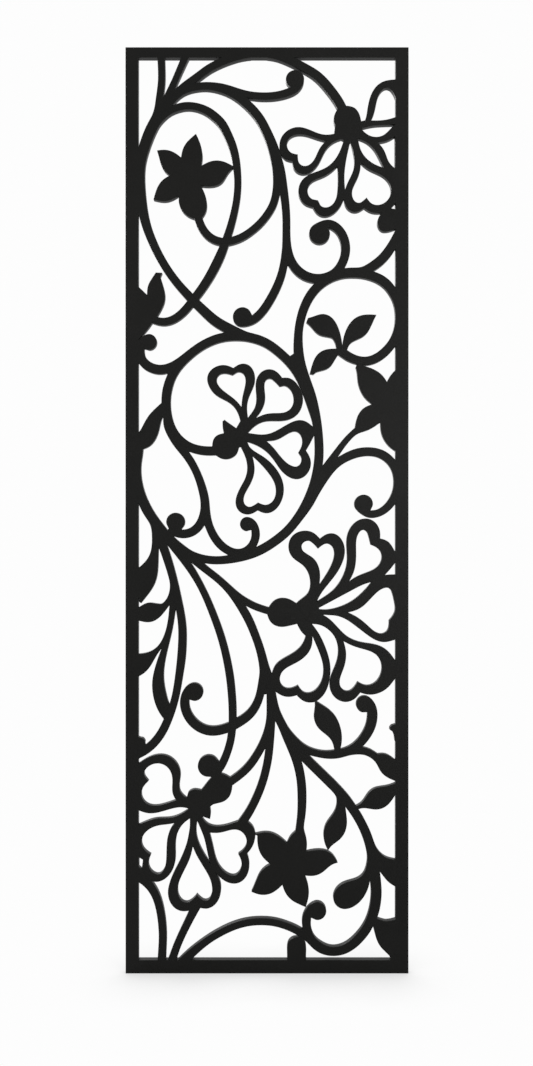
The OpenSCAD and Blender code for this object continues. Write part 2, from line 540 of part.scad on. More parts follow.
// Bundle of vines that falls from the left stile to the foot
module fall_leaf() {
    outline([
        [[-104, 440], [-110, 452], [-117.5, 453.5]],
        [[-117.5, 453.5], [-116, 446], [-115.2, 438], [-115.3, 430], [-116.3, 423], [-119, 416.3], [-123.3, 411],
         [-132, 403]],
        [[-132, 403], [-132, 377.5]],
        [[-132, 377.5], [-128, 377], [-127.8, 372]],
        [[-127.8, 372], [-126, 370.8]],
        [[-126, 370.8], [-121.5, 376.5], [-115.8, 384], [-111.7, 392], [-109.6, 401], [-108.9, 412],
         [-108.5, 428]],
        [[-108.5, 428], [-104, 440]]
    ]);
    outline([
        [[-132, 353.5], [-127.5, 353.3], [-122, 351.6], [-116, 351.9], [-110, 354.5], [-104, 360.5], [-97.5, 369]],
        [[-97.5, 369], [-91, 375]],
        [[-91, 375], [-94, 390]],
        [[-94, 390], [-97.5, 388]],
        [[-97.5, 388], [-98.5, 380], [-101.3, 374.2], [-107, 369.7], [-113, 371], [-119, 371.5],
         [-124, 369.7], [-128, 366.8], [-132, 365]]
    ]);
    outline([
        [[-91, 368], [-92.5, 357.5], [-94.5, 345], [-97.3, 333], [-100, 322], [-102.3, 310.5],
         [-103.4, 300], [-102.8, 289.5], [-100.6, 278.5], [-98.3, 270]],
        [[-98.3, 270], [-96, 255], [-103, 254.3]],
        [[-103, 254.3], [-107.5, 260.5], [-112, 270.5], [-114.5, 281.5], [-114.9, 292.5], [-113, 303],
         [-110, 313.5], [-105.7, 325.3]],
        [[-105.7, 325.3], [-110, 319.5], [-114.5, 311.5], [-119, 304.5], [-124, 299.8], [-132, 296]],
        [[-132, 296], [-132, 319.5]],
        [[-132, 319.5], [-127, 320], [-120, 321.2], [-113, 324.7], [-107.3, 330.5], [-103, 339],
         [-100, 349.5], [-98.4, 360], [-97.5, 370]],
        [[-97.5, 370], [-91, 377]],
        [[-91, 377], [-91, 368]]
    ]);
}

module fall_vines() {
    // outer vine
    vine([[-110, 442], [-104, 427.2], [-98.9, 412.2], [-94.7, 397.7], [-91.3, 384.1], [-88.3, 370],
          [-86, 357.5], [-84.7, 344.5], [-84.8, 329.5], [-85.9, 314], [-88, 298.5], [-90.4, 283.3],
          [-94, 268.5], [-98.7, 255.2], [-104.4, 242.9], [-111, 233.2], [-118.7, 225.6], [-131, 218.3]],
         [1, 1.05, 1, 0.95, 0.93, 0.98, 1.03, 1.05, 0.95, 0.92, 0.97, 1.05, 1.05, 1]);
    // second vine, with a ball at its end
    vine([[-108, 446], [-97.4, 433.3], [-86.8, 419.5], [-77.1, 406], [-68.6, 392], [-61.1, 377],
          [-54.2, 360.3], [-48.1, 343.8], [-43.1, 327], [-39.4, 310.5], [-36.8, 295], [-35.3, 280],
          [-34.4, 265], [-34.4, 251], [-35.6, 238], [-38.4, 225.7], [-42.6, 214.1], [-48.2, 204], [-56, 197]],
         [1.2, 1.1, 1, 0.85, 0.85, 0.9, 0.92, 0.95, 0.98, 0.98, 0.98, 0.95, 0.95, 1]);
    ball([-58.3, 207.6], 11.1);
    // third vine, which joins the trunk of the lower half
    vine([[-86, 426], [-74, 415], [-62, 405], [-50.6, 396.3], [-39.4, 385.9], [-30.3, 374.4], [-22.8, 362.3],
          [-16.5, 350.2], [-12, 339], [-8, 328], [-4.7, 316], [-2.3, 304], [-0.5, 292], [1.5, 280]],
         [1.1, 0.95, 0.88, 0.95, 1.05, 1.05, 1, 1.05, 1.35, 1.4]);
    // stem of the right rosette
    vine([[-38, 385.5], [-29, 377.3], [-19, 371], [-9, 366.3], [6, 361.5]], [0.9, 0.9, 0.88, 0.88]);
    // half ball where the outer vine meets the stile
    ball([-128, 230.5], 6.4);
}

// Large hook in the middle of the lower half
module middle_hook() {
    vine([[-2, 308], [-4, 296], [-5.8, 284], [-9.5, 271.5], [-15.5, 261.5], [-24, 254], [-34, 248],
          [-45, 244], [-56, 242.7], [-65.5, 245.3], [-74, 251.5], [-80, 260.3], [-82.6, 270.5],
          [-80.6, 280], [-75, 286.5]],
         [1, 1.05, 1, 1.1, 1.15, 1.15, 1.15, 1.15, 1.1, 1.1]);
    ball([-72.9, 281.9], 9.2);
}

// Trunk of the lower half and the vines that leave it
module trunk() {
    vine([[-2.5, 306], [1.1, 296], [3.4, 284], [6.3, 270.6], [10.6, 257.5], [16.5, 245.8], [24.3, 235.7],
          [32.3, 228], [41, 222.8], [51, 220], [61, 218.7], [71, 219.5], [81.9, 222.7], [91.3, 228.9],
          [98.8, 238], [103.9, 248.2], [105.5, 258], [104.6, 266.5], [100.5, 272.5]],
         [1.2, 1.2, 1.1, 1.05, 1.1, 1, 0.85, 1, 1.05, 1.15, 1.25, 1.1]);
    ball([97.6, 269.5], 8.5);
    vine([[4, 282], [4, 268], [3.4, 254], [0.6, 241.3], [-4.4, 228.7], [-11.2, 216.8], [-18.6, 206.7],
          [-27.3, 198.5], [-37.3, 191.2], [-48, 187]],
         [1.1, 1.1, 1, 1, 0.98, 0.98, 0.95, 1]);
    vine([[5, 262], [4.2, 247], [3, 232], [1.3, 216], [-1.4, 202.4], [-4.8, 190.2], [-9.2, 178.7],
          [-14.7, 167.1], [-20.2, 157.5], [-27, 148]],
         [0.9, 0.95, 0.98, 0.98, 0.98, 0.98, 1.05]);
    vine([[13, 254], [19.5, 238.5], [26, 223.5], [30.5, 210.5], [33.4, 198], [34.8, 186], [35.1, 174],
          [34.7, 161], [33.3, 149], [31.5, 136]],
         [1, 1.15, 1.15, 1.1, 1.1, 1.1, 1.05, 0.95, 0.95]);
    vine([[24, 233], [34, 220], [43, 210.7], [52.5, 201.5], [62.5, 191.7], [72.5, 181.3], [81, 171.3],
          [88.5, 160.5], [95, 149], [100, 138], [103.6, 127], [106, 114], [107.6, 101], [109, 90],
          [109.5, 80], [108.5, 69], [105.7, 57.5], [101, 47], [94, 37.2], [86, 29.3], [77, 23.9],
          [67, 21.9], [57.7, 23.2], [49.3, 27.9], [42.9, 35.7], [39.7, 46], [40, 56.5], [43.2, 62.7], [48.5, 66.3]],
         [1.1, 1.15, 1.15, 1.2, 1.15, 1.1, 1.2, 1.35, 1.3, 1.25, 1.15, 1.15, 1.1, 1.1, 1.08, 1]);
    ball([50.3, 62.4], 9.1);
}

// Leaves and the short branch of the lower right side
module lower_leaves() {
    // leaf that hangs from the right rosette
    outline([
        [[46, 276], [48.3, 270], [48.2, 265], [46.7, 259.3], [47.7, 252.2], [51.8, 245], [58.2, 239.6],
         [63.5, 235], [66.5, 228], [68, 218]],
        [[68, 218], [72.5, 220]],
        [[72.5, 220], [74.5, 229], [75, 237], [73.5, 246.5], [69.5, 256], [63, 263.5], [55.5, 268.7],
         [49.5, 272.5]],
        [[49.5, 272.5], [49, 277]]
    ]);
    // branch to the right stile
    outline([
        [[88, 222], [95.3, 226.7], [101, 225.6], [106.4, 222.8], [111.3, 219.4]],
        [[111.3, 219.6], [116, 220.3], [121, 219], [125, 216.3], [132, 211]],
        [[132, 211], [132, 192]],
        [[132, 192], [127.8, 192.8], [122, 195.4], [116, 199.4], [112.1, 204.2], [109.9, 210.2]],
        [[109.9, 210.2], [105, 214.7], [99, 218.3], [92, 219.3], [86, 218.7], [80.5, 219]],
        [[80.5, 219], [88, 222]]
    ]);
    // leaf on the right stile
    outline([
        [[132, 192], [127, 189.7], [119, 187.2], [110.5, 186.2], [103.5, 182.8], [99, 177], [95.5, 171.3],
         [87.5, 166.7]],
        [[87.5, 166.7], [91, 164.4]],
        [[91, 164.4], [97.5, 166], [103, 164.6], [109.5, 164], [116.5, 165.7], [122.5, 170.3], [128, 179]],
        [[128, 179], [132, 179]]
    ]);
    // leaf that touches the star flower
    outline([
        [[68, 183], [69.6, 173], [69, 165], [65, 157.7], [59.8, 151], [57, 143], [56.8, 134.5], [61, 123]],
        [[61, 123], [64.5, 128.3], [71, 132.3], [76.8, 139], [79.8, 147.7], [80, 155], [78.7, 164]],
        [[78.7, 164], [78, 178]]
    ]);
    // leaf inside the bottom scroll
    outline([
        [[104, 114], [100.3, 112], [98.6, 103.5], [94.7, 97.5], [89, 94], [80.5, 91.7], [73.5, 88.5],
         [68.3, 82.7], [66.2, 75.5], [68.5, 68.8], [76, 64.4], [84, 65.7], [92, 70.8], [98.3, 79],
         [102, 87.5], [103.8, 97]],
        [[103.8, 97], [108, 104]]
    ]);
    // leaf between the bottom scroll and the right stile
    outline([
        [[104, 127], [110.5, 124.5], [114.5, 119.3], [119.5, 116], [128, 113.7], [132, 113.5]],
        [[132, 113.5], [132, 86]],
        [[132, 86], [128, 87], [122, 91], [117.3, 95.8], [113.5, 101.5]],
        [[113.5, 101.5], [106, 104]]
    ]);
    // foot in the bottom right corner
    outline([
        [[103, 54], [111.3, 55], [116, 52.6], [121, 52], [128, 54], [132, 54]],
        [[132, 54], [132, 9]],
        [[132, 9], [123, 9]],
        [[123, 9], [123.5, 17], [117.5, 22], [112, 29], [108.5, 37], [106.5, 46]],
        [[106.5, 46], [103, 54]]
    ]);
}

// Rosette on the right, at the head of the lower half
module rosette_right() {
    // calyx, upper left heart and the spur below
    difference() {
        outline([
            [[0, 363], [2, 367.5], [5.5, 372.3], [11, 375.4], [17, 376], [23, 374.6], [29.3, 370.8]],
            [[29.3, 370.8], [34, 375.3], [40, 379.3], [42.8, 385.5], [43.2, 392], [42, 399], [38.7, 405.5],
             [33.5, 410.8], [27.3, 414.5], [23.2, 419.8], [21.5, 426.5], [22.5, 433.5], [25.5, 438.5],
             [31, 442], [38, 443.5], [44.5, 442.5], [49.3, 439.5], [53, 435.5]],
            [[53, 435.5], [57.5, 439], [63, 440.9], [69, 440], [74, 435.5], [77.3, 428.5], [77.8, 420.5],
             [75.2, 411], [70.5, 401.9], [64.5, 393.8], [58, 385.8], [53.3, 379.3], [49.7, 372]],
            [[49.7, 372], [52.5, 364.6]],
            [[52.5, 364.6], [60, 362]],
            [[60, 362], [46.5, 351]],
            [[46.5, 351], [41, 345], [38.5, 338]],
            [[38.5, 338], [35.5, 340.3], [32.5, 344.8], [30, 350]],
            [[30, 350], [24.5, 348.8], [18, 347.2], [11.5, 347.2], [5.5, 350], [1.5, 354.7], [0, 360]]
        ]);
        outline([
            [[52.5, 389.5], [53.2, 398], [52.3, 405.5], [49.3, 412.5], [44.5, 418], [38, 421.2],
             [35.2, 424.8], [34.8, 429], [37.3, 432], [41, 433.2], [45, 431.8], [48, 428.6], [51, 425.3]],
            [[51, 425.3], [55, 428.8], [60, 430.4], [64.3, 428.5], [67, 424], [67, 417.7], [64.8, 410],
             [60.8, 402.3], [57, 396], [52.5, 389.5]]
        ]);
    }
    // upper right heart
    difference() {
        outline([
            [[49.7, 372.3], [57, 377], [64.5, 382.3], [71, 389.5], [76, 398], [79.3, 407.5], [80.2, 417],
             [79.6, 427], [79.9, 437], [83, 445.5], [88.5, 452], [96, 455.5], [103.5, 454.8],
             [109.5, 450.5], [113, 443.5], [113.2, 435.7]],
            [[113.2, 435.7], [119, 434.2], [124, 430], [128, 422.7], [132, 422]],
            [[132, 422], [132, 411], [128, 411]],
            [[128, 411], [124.8, 406.5], [121, 402.3], [117.5, 398.5]],
            [[117.5, 398.5], [105.5, 392.3]],
            [[105.5, 392.3], [97, 389.8], [88, 385.3], [79, 380.5], [69, 375.2], [59.5, 370], [51, 365.6]],
            [[51, 365.6], [49.7, 372.3]]
        ]);
        outline([
            [[81.7, 392], [85, 397.5], [87.6, 404.5], [89, 413], [89.3, 422], [89.2, 431], [90.3, 438],
             [93, 442.5], [96.3, 444.2], [99.8, 442.3], [102, 437.3], [102.6, 432], [103.8, 429.3]],
            [[103.8, 429.3], [108, 427.8], [112.5, 424.3], [115, 418.7], [113.8, 411.8], [109.5, 406.3],
             [103, 402.8], [95, 399.8], [87.5, 396.2], [81.7, 392]]
        ]);
    }
    // right heart, closed by the stile
    difference() {
        outline([
            [[50, 364], [60, 364.4], [69, 366], [78, 369.3], [86.3, 373.8], [93.5, 379.8], [100, 386.2],
             [105, 392.5]],
            [[105, 392.5], [117.5, 398.8], [128, 399.5]],
            [[128, 399.5], [132, 399.5]],
            [[132, 399.5], [132, 334.5]],
            [[132, 334.5], [127.7, 334.3], [122, 332.2], [116, 331.7], [110, 333.2], [103, 337.1],
             [96, 342.3], [89, 347.6], [82, 352.8], [74, 356.9], [66, 358.8], [57, 358.8]],
            [[57, 358.8], [50, 364]]
        ]);
        outline([
            [[81, 361.5], [88, 363.2], [94.5, 366.5], [100.5, 371.8], [106, 377.7], [111.5, 382.8],
             [117, 385.9], [121.6, 386], [125.2, 382], [126.1, 376.5], [128, 369.5], [128.1, 361.5]],
            [[128.1, 361.5], [125, 357], [122.2, 353.5]],
            [[122.2, 353.5], [122.3, 348.5], [120.7, 343.7], [117, 340.7], [112.5, 340.3], [107.5, 342.7],
             [102, 347.7], [96, 352.8], [89, 357.7], [81, 361.5]]
        ]);
    }
    // lower right heart
    difference() {
        outline([
            [[45, 350], [52, 349.4], [59, 346], [65, 340.7], [69, 334.3], [71, 327], [71, 319],
             [69.3, 311], [66, 303], [63.4, 295.5], [62.6, 288], [64.5, 280.8], [68.8, 275.5],
             [75, 272.3], [81.5, 272], [87.5, 274.8], [93.3, 281.2]],
            [[93.3, 281.2], [99, 279.4], [106, 279.3], [113, 281.2], [119.5, 285], [124.5, 290],
             [128, 295.5], [132, 297]],
            [[132, 297], [132, 312], [128, 313.3]],
            [[128, 313.3], [124.3, 319.5], [119, 324.7], [112, 328.3], [104, 330.2], [95.5, 331.4],
             [87.5, 333.8], [81, 337], [75.5, 341.7], [70.5, 347], [65, 352.8], [57.5, 358.4]],
            [[57.5, 358.4], [50, 360], [45, 350]]
        ]);
        outline([
            [[76.7, 332.5], [78.7, 325.5], [79.2, 318], [78, 309.5], [75.3, 301.5], [72.7, 294],
             [73.2, 288], [76.3, 284], [80.5, 282.6], [85, 284.3], [88.2, 288], [90.8, 292.2]],
            [[90.8, 292.2], [95, 289.5], [100.5, 288.3], [106, 289.8], [111, 294.3], [114.3, 301],
             [114.8, 308.3], [112.3, 315.5], [107, 320.8], [100, 323.7], [92, 325.9], [84, 328.7], [76.7, 332.5]]
        ]);
    }
    // lower left heart
    difference() {
        outline([
            [[34, 342], [38.6, 339.8], [37.7, 334], [34.5, 328.5], [29.5, 323.4], [22.8, 318.9], [15.7, 315],
             [9.5, 310.3], [5.5, 303.5], [4, 296], [4.6, 288], [8, 282.5], [14, 278.5], [21, 276.8],
             [29.7, 278.5]],
            [[29.7, 278.5], [33.5, 274.5], [39, 271.7], [45, 271], [51, 273.3], [56.5, 278.7], [60.5, 286],
             [62.6, 294.5], [63.6, 303], [62.7, 313], [60, 322.7], [56.3, 332], [51.7, 341], [45, 350]],
            [[45, 350], [38, 352], [34, 342]]
        ]);
        outline([
            [[45.5, 337.3], [45.3, 330], [43, 323.7], [38.5, 317.7], [32, 312.7], [25, 308.8], [18, 305],
             [13.9, 299.8], [12.8, 294], [14.8, 288.7], [19, 285.7], [24, 285.6], [31, 288.6]],
            [[31, 288.6], [33.5, 284.3], [37.5, 281.3], [42, 280.8], [47, 282.7], [51.8, 287.7],
             [55.2, 294.5], [56.4, 302], [55.8, 310.3], [53.3, 318.5], [50, 327], [45.5, 337.3]]
        ]);
    }
}

// Rosette in the lower left corner: a calyx with heart-shaped petals on both sides
module rosette_foot() {
    // calyx
    outline([
        [[-42, 199], [-48, 200.5], [-54, 198], [-59, 192.5], [-63, 187], [-66, 183.3]],
        [[-66, 183.3], [-71, 184.6], [-76, 183.6], [-79.7, 180], [-80.5, 175.5]],
        [[-80.5, 175.5], [-83, 168], [-79, 165.3]],
        [[-79, 165.3], [-78, 158], [-76, 150]],
        [[-76, 150], [-70, 152.5], [-64, 157]],
        [[-64, 157], [-60.5, 155.2], [-57, 154.7]],
        [[-57, 154.7], [-55.8, 158.5], [-56.5, 163], [-57, 167]],
        [[-57, 167], [-54, 170], [-48, 170.4], [-42, 172.8], [-37, 178], [-35, 184], [-34.4, 191]],
        [[-34.4, 191], [-38, 197.3], [-42, 199.3]]
    ]);
    // upper left petal, closed by the frame
    difference() {
        outline([
            [[-76, 172], [-81, 175.8], [-85.5, 179.8], [-87.8, 185.3], [-87.2, 192], [-86.4, 199],
             [-87.8, 206], [-91.5, 212], [-97, 216.7], [-104, 219], [-111, 218.8], [-117, 217],
             [-122, 214.5], [-128, 210.5], [-132, 208]],
            [[-132, 208], [-132, 163]],
            [[-132, 163], [-128, 163.4], [-123, 161], [-116, 160.3], [-108, 161.3], [-99, 164],
             [-90, 166.1], [-79, 166.2]],
            [[-79, 166.2], [-76, 172]]
        ]);
        outline([
            [[-91, 173.5], [-94.3, 178.7], [-95, 185.5], [-94.6, 192.5], [-95.3, 199], [-98.3, 205],
             [-103.3, 209], [-109, 210.4], [-115, 209.2], [-120.3, 205.7], [-123, 201.3], [-122.3, 197.5],
             [-118.6, 192.7]],
            [[-118.6, 192.7], [-122.3, 188.8], [-125.3, 184], [-125.6, 177.8], [-122.5, 171.7],
             [-116.5, 168.3], [-109, 168.2], [-100, 170.5], [-91, 173.5]]
        ]);
    }
    // lower left petal, closed by the frame
    difference() {
        outline([
            [[-76, 166], [-84, 160.7], [-92, 157], [-100, 155.4], [-109, 155.4], [-116, 154],
             [-122, 151.6], [-128, 149], [-132, 147.5]],
            [[-132, 147.5], [-132, 90]],
            [[-132, 90], [-122, 94], [-113, 91.3]],
            [[-113, 91.3], [-105.5, 92.7], [-99.3, 97], [-95, 102.7], [-92.5, 109], [-91.5, 117],
             [-91.7, 126], [-91, 135], [-88.5, 143], [-83.8, 150], [-76.5, 155.6]],
            [[-76.5, 155.6], [-72, 160], [-76, 166]]
        ]);
        outline([
            [[-92, 150.7], [-98, 149.3], [-106, 148.7], [-113.5, 146.7], [-120, 142.8], [-124.3, 137.3],
             [-125.7, 131], [-124, 125.5], [-120.5, 121.7], [-116.2, 118.7]],
            [[-116.2, 118.7], [-118, 114.7], [-118.8, 109.7], [-117.3, 104.7], [-113.7, 100.7],
             [-109, 99.2], [-104.7, 101.7], [-102, 107], [-100.9, 114.5], [-100.6, 123], [-100.2, 131.5],
             [-98.7, 139.5], [-96, 145.8], [-92, 150.7]]
        ]);
        outline([
            [[-128.3, 116.3], [-124.2, 113.8]],
            [[-124.2, 113.8], [-125.4, 104]],
            [[-125.4, 104], [-128.3, 106.5]],
            [[-128.3, 106.5], [-128.3, 116.3]]
        ]);
    }
    // middle petal
    difference() {
        outline([
            [[-76.5, 158], [-77, 150], [-78.2, 141], [-80.2, 131], [-83.5, 121.3], [-87.8, 111.5],
             [-93, 101.5], [-97, 92], [-99.2, 82.7], [-98.2, 74.5], [-94.4, 67.4], [-88.4, 63.1], [-82, 61.9],
             [-74, 65]],
            [[-74, 65], [-68, 65.8], [-62, 64.4], [-55.5, 66.3], [-50.3, 70.8], [-47, 77.5], [-46, 85],
             [-47, 92], [-50.3, 99], [-55, 107], [-60, 114.7], [-65, 123.3], [-69, 132.3], [-70.8, 142],
             [-69.7, 153]],
            [[-69.7, 153], [-72, 158], [-76.5, 158]]
        ]);
        outline([
            [[-74.3, 127], [-76, 118.5], [-79.6, 109.5], [-84.2, 100.3], [-88, 91.5], [-89.4, 83.5],
             [-88, 76.5], [-84, 71.8], [-79.5, 71], [-75, 73.5], [-70.2, 78.7]],
            [[-70.2, 78.7], [-66.5, 74.9], [-62.3, 72.8], [-58, 74.2], [-55.4, 79.5], [-55.2, 87.5],
             [-57.3, 95.5], [-61.8, 103.7], [-67, 112.3], [-71.2, 119.5], [-74.3, 127]]
        ]);
    }
    // right petal
    difference() {
        outline([
            [[-66, 158], [-62.5, 152.3], [-58, 148.8], [-51.5, 147.3], [-44.5, 147.7], [-37, 149.6],
             [-29.5, 152.2], [-23, 153.3], [-17.3, 150.7], [-13, 145.5], [-11.5, 139], [-12.7, 131.5],
             [-16, 124.5], [-20, 119.8]],
            [[-20, 119.8], [-18, 113.5], [-17.8, 106], [-20, 98.3], [-24.8, 92.5], [-31.5, 89.8],
             [-38, 90.7], [-44.5, 94], [-51, 100.5], [-57.5, 111.5]],
            [[-57.5, 111.5], [-59.3, 119.5], [-61.3, 129], [-63.8, 138.5], [-67, 145.8], [-69.8, 152.7]],
            [[-69.8, 152.7], [-66, 158]]
        ]);
        outline([
            [[-57.5, 141], [-51, 140.5], [-44, 141.4], [-37, 143.5], [-31, 144.2], [-25.5, 142],
             [-21.5, 137], [-20.3, 131], [-22.2, 125.5], [-28.8, 119.5]],
            [[-28.8, 119.5], [-26.3, 115], [-25.4, 109], [-26.8, 103.3], [-30.3, 99], [-35, 97.8],
             [-40.5, 100.2], [-46, 105.3], [-50.2, 112.3], [-52.7, 121], [-54.7, 130.5], [-57.5, 141]]
        ]);
    }
}

// Five-petalled star flower at the foot, hung from the trunk
module star_flower_foot() {
    outline([
        [[20, 130.3], [21.8, 135], [24.7, 139], [29, 142.5]],
        [[29, 142.5], [36.3, 144.5]],
        [[36.3, 144.5], [38.6, 139], [40, 132], [39.3, 121.8]],
        [[39.3, 121.8], [45.5, 123.2], [52, 123.5], [60, 122.6], [65.5, 119], [70.7, 111]],
        [[70.7, 111], [64.5, 109], [60, 104.8], [55, 100.7], [49.5, 98.2], [44, 97.4], [38, 98]],
        [[38, 98], [40.5, 91], [42, 83], [41.3, 75], [38.8, 66.3]],
        [[38.8, 66.3], [31.5, 69.5], [25, 73], [19.5, 78.7], [15.3, 88.5]],
        [[15.3, 88.5], [11, 84.5], [5.5, 80.7], [-1, 78.7], [-8, 79], [-15.5, 81.7]],
        [[-15.5, 81.7], [-12.3, 88.5], [-9.3, 96.5], [-5.3, 103], [3.5, 109.3]],
        [[3.5, 109.3], [-2, 113.8], [-6.8, 120.3], [-9.2, 128], [-9.8, 138]],
        [[-9.8, 138], [-12.5, 139.3]],
        [[-12.5, 139.3], [-7, 140.7], [0, 141.3], [7, 139.7], [14, 135.7], [20, 130.3]]
    ]);
}

// Vines that stand on the bottom rail
module foot_vines() {
    vine([[-131, 99.4], [-120, 90.7], [-112.4, 79.8], [-108.2, 68], [-106, 57], [-104.8, 46],
          [-104.4, 35], [-104.9, 24], [-105.6, 10]],
         [1.45, 1.12, 0.98, 0.95, 0.95, 0.95, 0.97, 1]);
    vine([[-69.5, 70], [-75.5, 58], [-81, 47], [-86, 36.5], [-90.7, 25.5], [-96, 10]],
         [1.15, 0.95, 0.9, 0.92, 1]);
    vine([[-88, 7], [-79, 16.7], [-70, 24.7], [-60, 32.5], [-50, 38.8], [-40, 44], [-30, 48], [-20, 50.6],
          [-10, 51.7], [0, 51.6], [10, 50.2], [20, 47], [30, 42.7], [39, 37], [47, 31], [56, 25.5]],
         [1.2, 1.05, 0.9, 0.88, 0.87, 0.87, 0.87, 0.87, 0.95, 1.1]);
    ball([29.8, 26.4], 9.8);
    outline([[[20, 24], [20.3, 9]], [[20.3, 9], [39, 9]], [[39, 9], [39.2, 24]]]);
    outline([[[31.5, 33], [32, 38.5]], [[32, 38.5], [37.3, 34]], [[37.3, 34], [36.5, 30.5]]]);
}

// ---- cut plate ----

module scrollwork() {
    corner_fan();
    top_tendril();
    star_stem();
    left_vine();
    loop_vine();
    ball_vine();
    star_flower_top();
    rosette_top();
    rosette_hook();
    right_arc();
    right_ring();
    ring_sprout();
    middle_ring();
    middle_vine();
    ring_hook();
    stile_leaves();
    rosette_middle();
    stile_lily();
    stile_scroll();
    ring_tail();
    fall_leaf();
    fall_vines();
    middle_hook();
    trunk();
    lower_leaves();
    rosette_right();
    rosette_foot();
    star_flower_foot();
    foot_vines();
}

module panel_flat() {
    offset(delta = -beam_w / 2)
        offset(delta = beam_w / 2)
            intersection() {
                translate([-inner_w / 2, foot_w])
                    square([inner_w, inner_h]);
                scrollwork();
            }
}

// Stands a flat drawing up, its front at -depth / 2
module stand_up() {
    translate([0, depth / 2, 0])
        rotate([90, 0, 0])
            linear_extrude(height = depth)
                children();
}

// ---- screws and their holes ----
// Each is drawn along z with its head at the origin and its tip below, then laid in place.

module screw_body(reach, wall) {
    tip = wall + reach;
    difference() {
        union() {
            translate([0, 0, -tip])
                cylinder(r = screw_r, h = tip - head_sink, $fn = round_fn);
            translate([0, 0, -head_sink - (head_r - screw_r)])
                cylinder(r1 = screw_r, r2 = head_r, h = head_r - screw_r, $fn = round_fn);
        }
        translate([0, 0, -head_sink - socket_deep])
            cylinder(d = socket_w / cos(30), h = socket_deep + cut_over, $fn = 6);
    }
}

// Hole with a countersink through a bar
module clear_hole(wall) {
    translate([0, 0, -wall - cut_over])
        cylinder(r = screw_r + screw_gap, h = wall + 2 * cut_over, $fn = round_fn);
    translate([0, 0, -head_sink - (head_r - screw_r)])
        cylinder(r1 = screw_r, r2 = head_r, h = head_r - screw_r, $fn = round_fn);
    translate([0, 0, -head_sink])
        cylinder(r = head_r, h = head_sink + cut_over, $fn = round_fn);
}

// Threaded hole that begins on the far side of the bar
module thread_hole(reach, wall) {
    translate([0, 0, -wall - reach - tip_room])
        cylinder(r = screw_r, h = reach + tip_room + cut_over, $fn = round_fn);
}

// Lays children at the outer edge of a stile: side is -1 on the left and 1 on the right
module at_stile(side, z) {
    translate([side * screen_w / 2, 0, z])
        rotate([0, side * 90, 0])
            children();
}

module at_foot(x) {
    translate([x, 0, 0])
        rotate([180, 0, 0])
            children();
}

module at_corners(side) {
    for (z = [foot_w / 2, screen_h - top_w / 2])
        at_stile(side, z)
            children();
}

module at_lands(side) {
    for (row = side < 0 ? left_lands : right_lands)
        at_stile(side, row * square_z)
            children();
}

// ---- nodes ----

module stile(side) {
    difference() {
        union() {
            translate([side * (screen_w - stile_w) / 2 - stile_w / 2, -depth / 2, 0])
                cube([stile_w, depth, screen_h]);
            if (side > 0)
                stand_up()
                    stile_nub();
        }
        at_corners(side)
            clear_hole(stile_w);
        at_lands(side)
            clear_hole(stile_w);
    }
}

// Leaf tip that grows out of the right stile
module stile_nub() {
    outline([
        [[132, 250], [132, 231]],
        [[132, 231], [128, 232.5]],
        [[128, 232.5], [127.3, 238], [125.6, 242.3], [122.7, 244.3], [123, 246.6], [128, 249.5]],
        [[128, 249.5], [132, 250]]
    ]);
}

module left_stile() {
    color(bar_grey)
        stile(-1);
}

module right_stile() {
    color(bar_grey)
        stile(1);
}

module rail(w, z) {
    difference() {
        translate([-inner_w / 2, -depth / 2, z - w / 2])
            cube([inner_w, depth, w]);
        for (side = [-1, 1])
            at_stile(side, z)
                thread_hole(corner_reach, stile_w);
    }
}

module top_rail() {
    color(bar_grey)
        rail(top_w, screen_h - top_w / 2);
}

module bottom_rail() {
    color(bar_grey)
        difference() {
            rail(foot_w, foot_w / 2);
            at_foot(foot_land * square_x)
                clear_hole(foot_w);
            for (side = [-1, 1])
                translate([side * fix_pitch / 2, 0, -cut_over])
                    cylinder(d = fix_d, h = fix_deep + cut_over, $fn = round_fn);
        }
}

module scroll_panel() {
    color(plate_grey)
        difference() {
            stand_up()
                panel_flat();
            for (side = [-1, 1])
                at_lands(side)
                    thread_hole(panel_reach, stile_w);
            at_foot(foot_land * square_x)
                thread_hole(panel_reach, foot_w);
        }
}

module corner_screws() {
    color(screw_grey)
        for (side = [-1, 1])
            at_corners(side)
                screw_body(corner_reach, stile_w);
}

module panel_screws() {
    color(screw_grey) {
        for (side = [-1, 1])
            at_lands(side)
                screw_body(panel_reach, stile_w);
        at_foot(foot_land * square_x)
            screw_body(panel_reach, foot_w);
    }
}

top_rail();
bottom_rail();
left_stile();
right_stile();
scroll_panel();
corner_screws();
panel_screws();
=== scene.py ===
"""Garden screen of cut vine scrollwork in a flat bar frame, coated satin black.

The four bars are copies of the CAD solids, with their edges eased. The screws are the CAD
solids as they are. The cut plate is drawn again from the outline of its CAD solid, with
smooth curves and rounded edges. Metres, x to the right, z up, the front faces -y.
"""

import math

import bmesh
import bpy
import numpy as np
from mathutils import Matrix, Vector
from mathutils.geometry import delaunay_2d_cdt


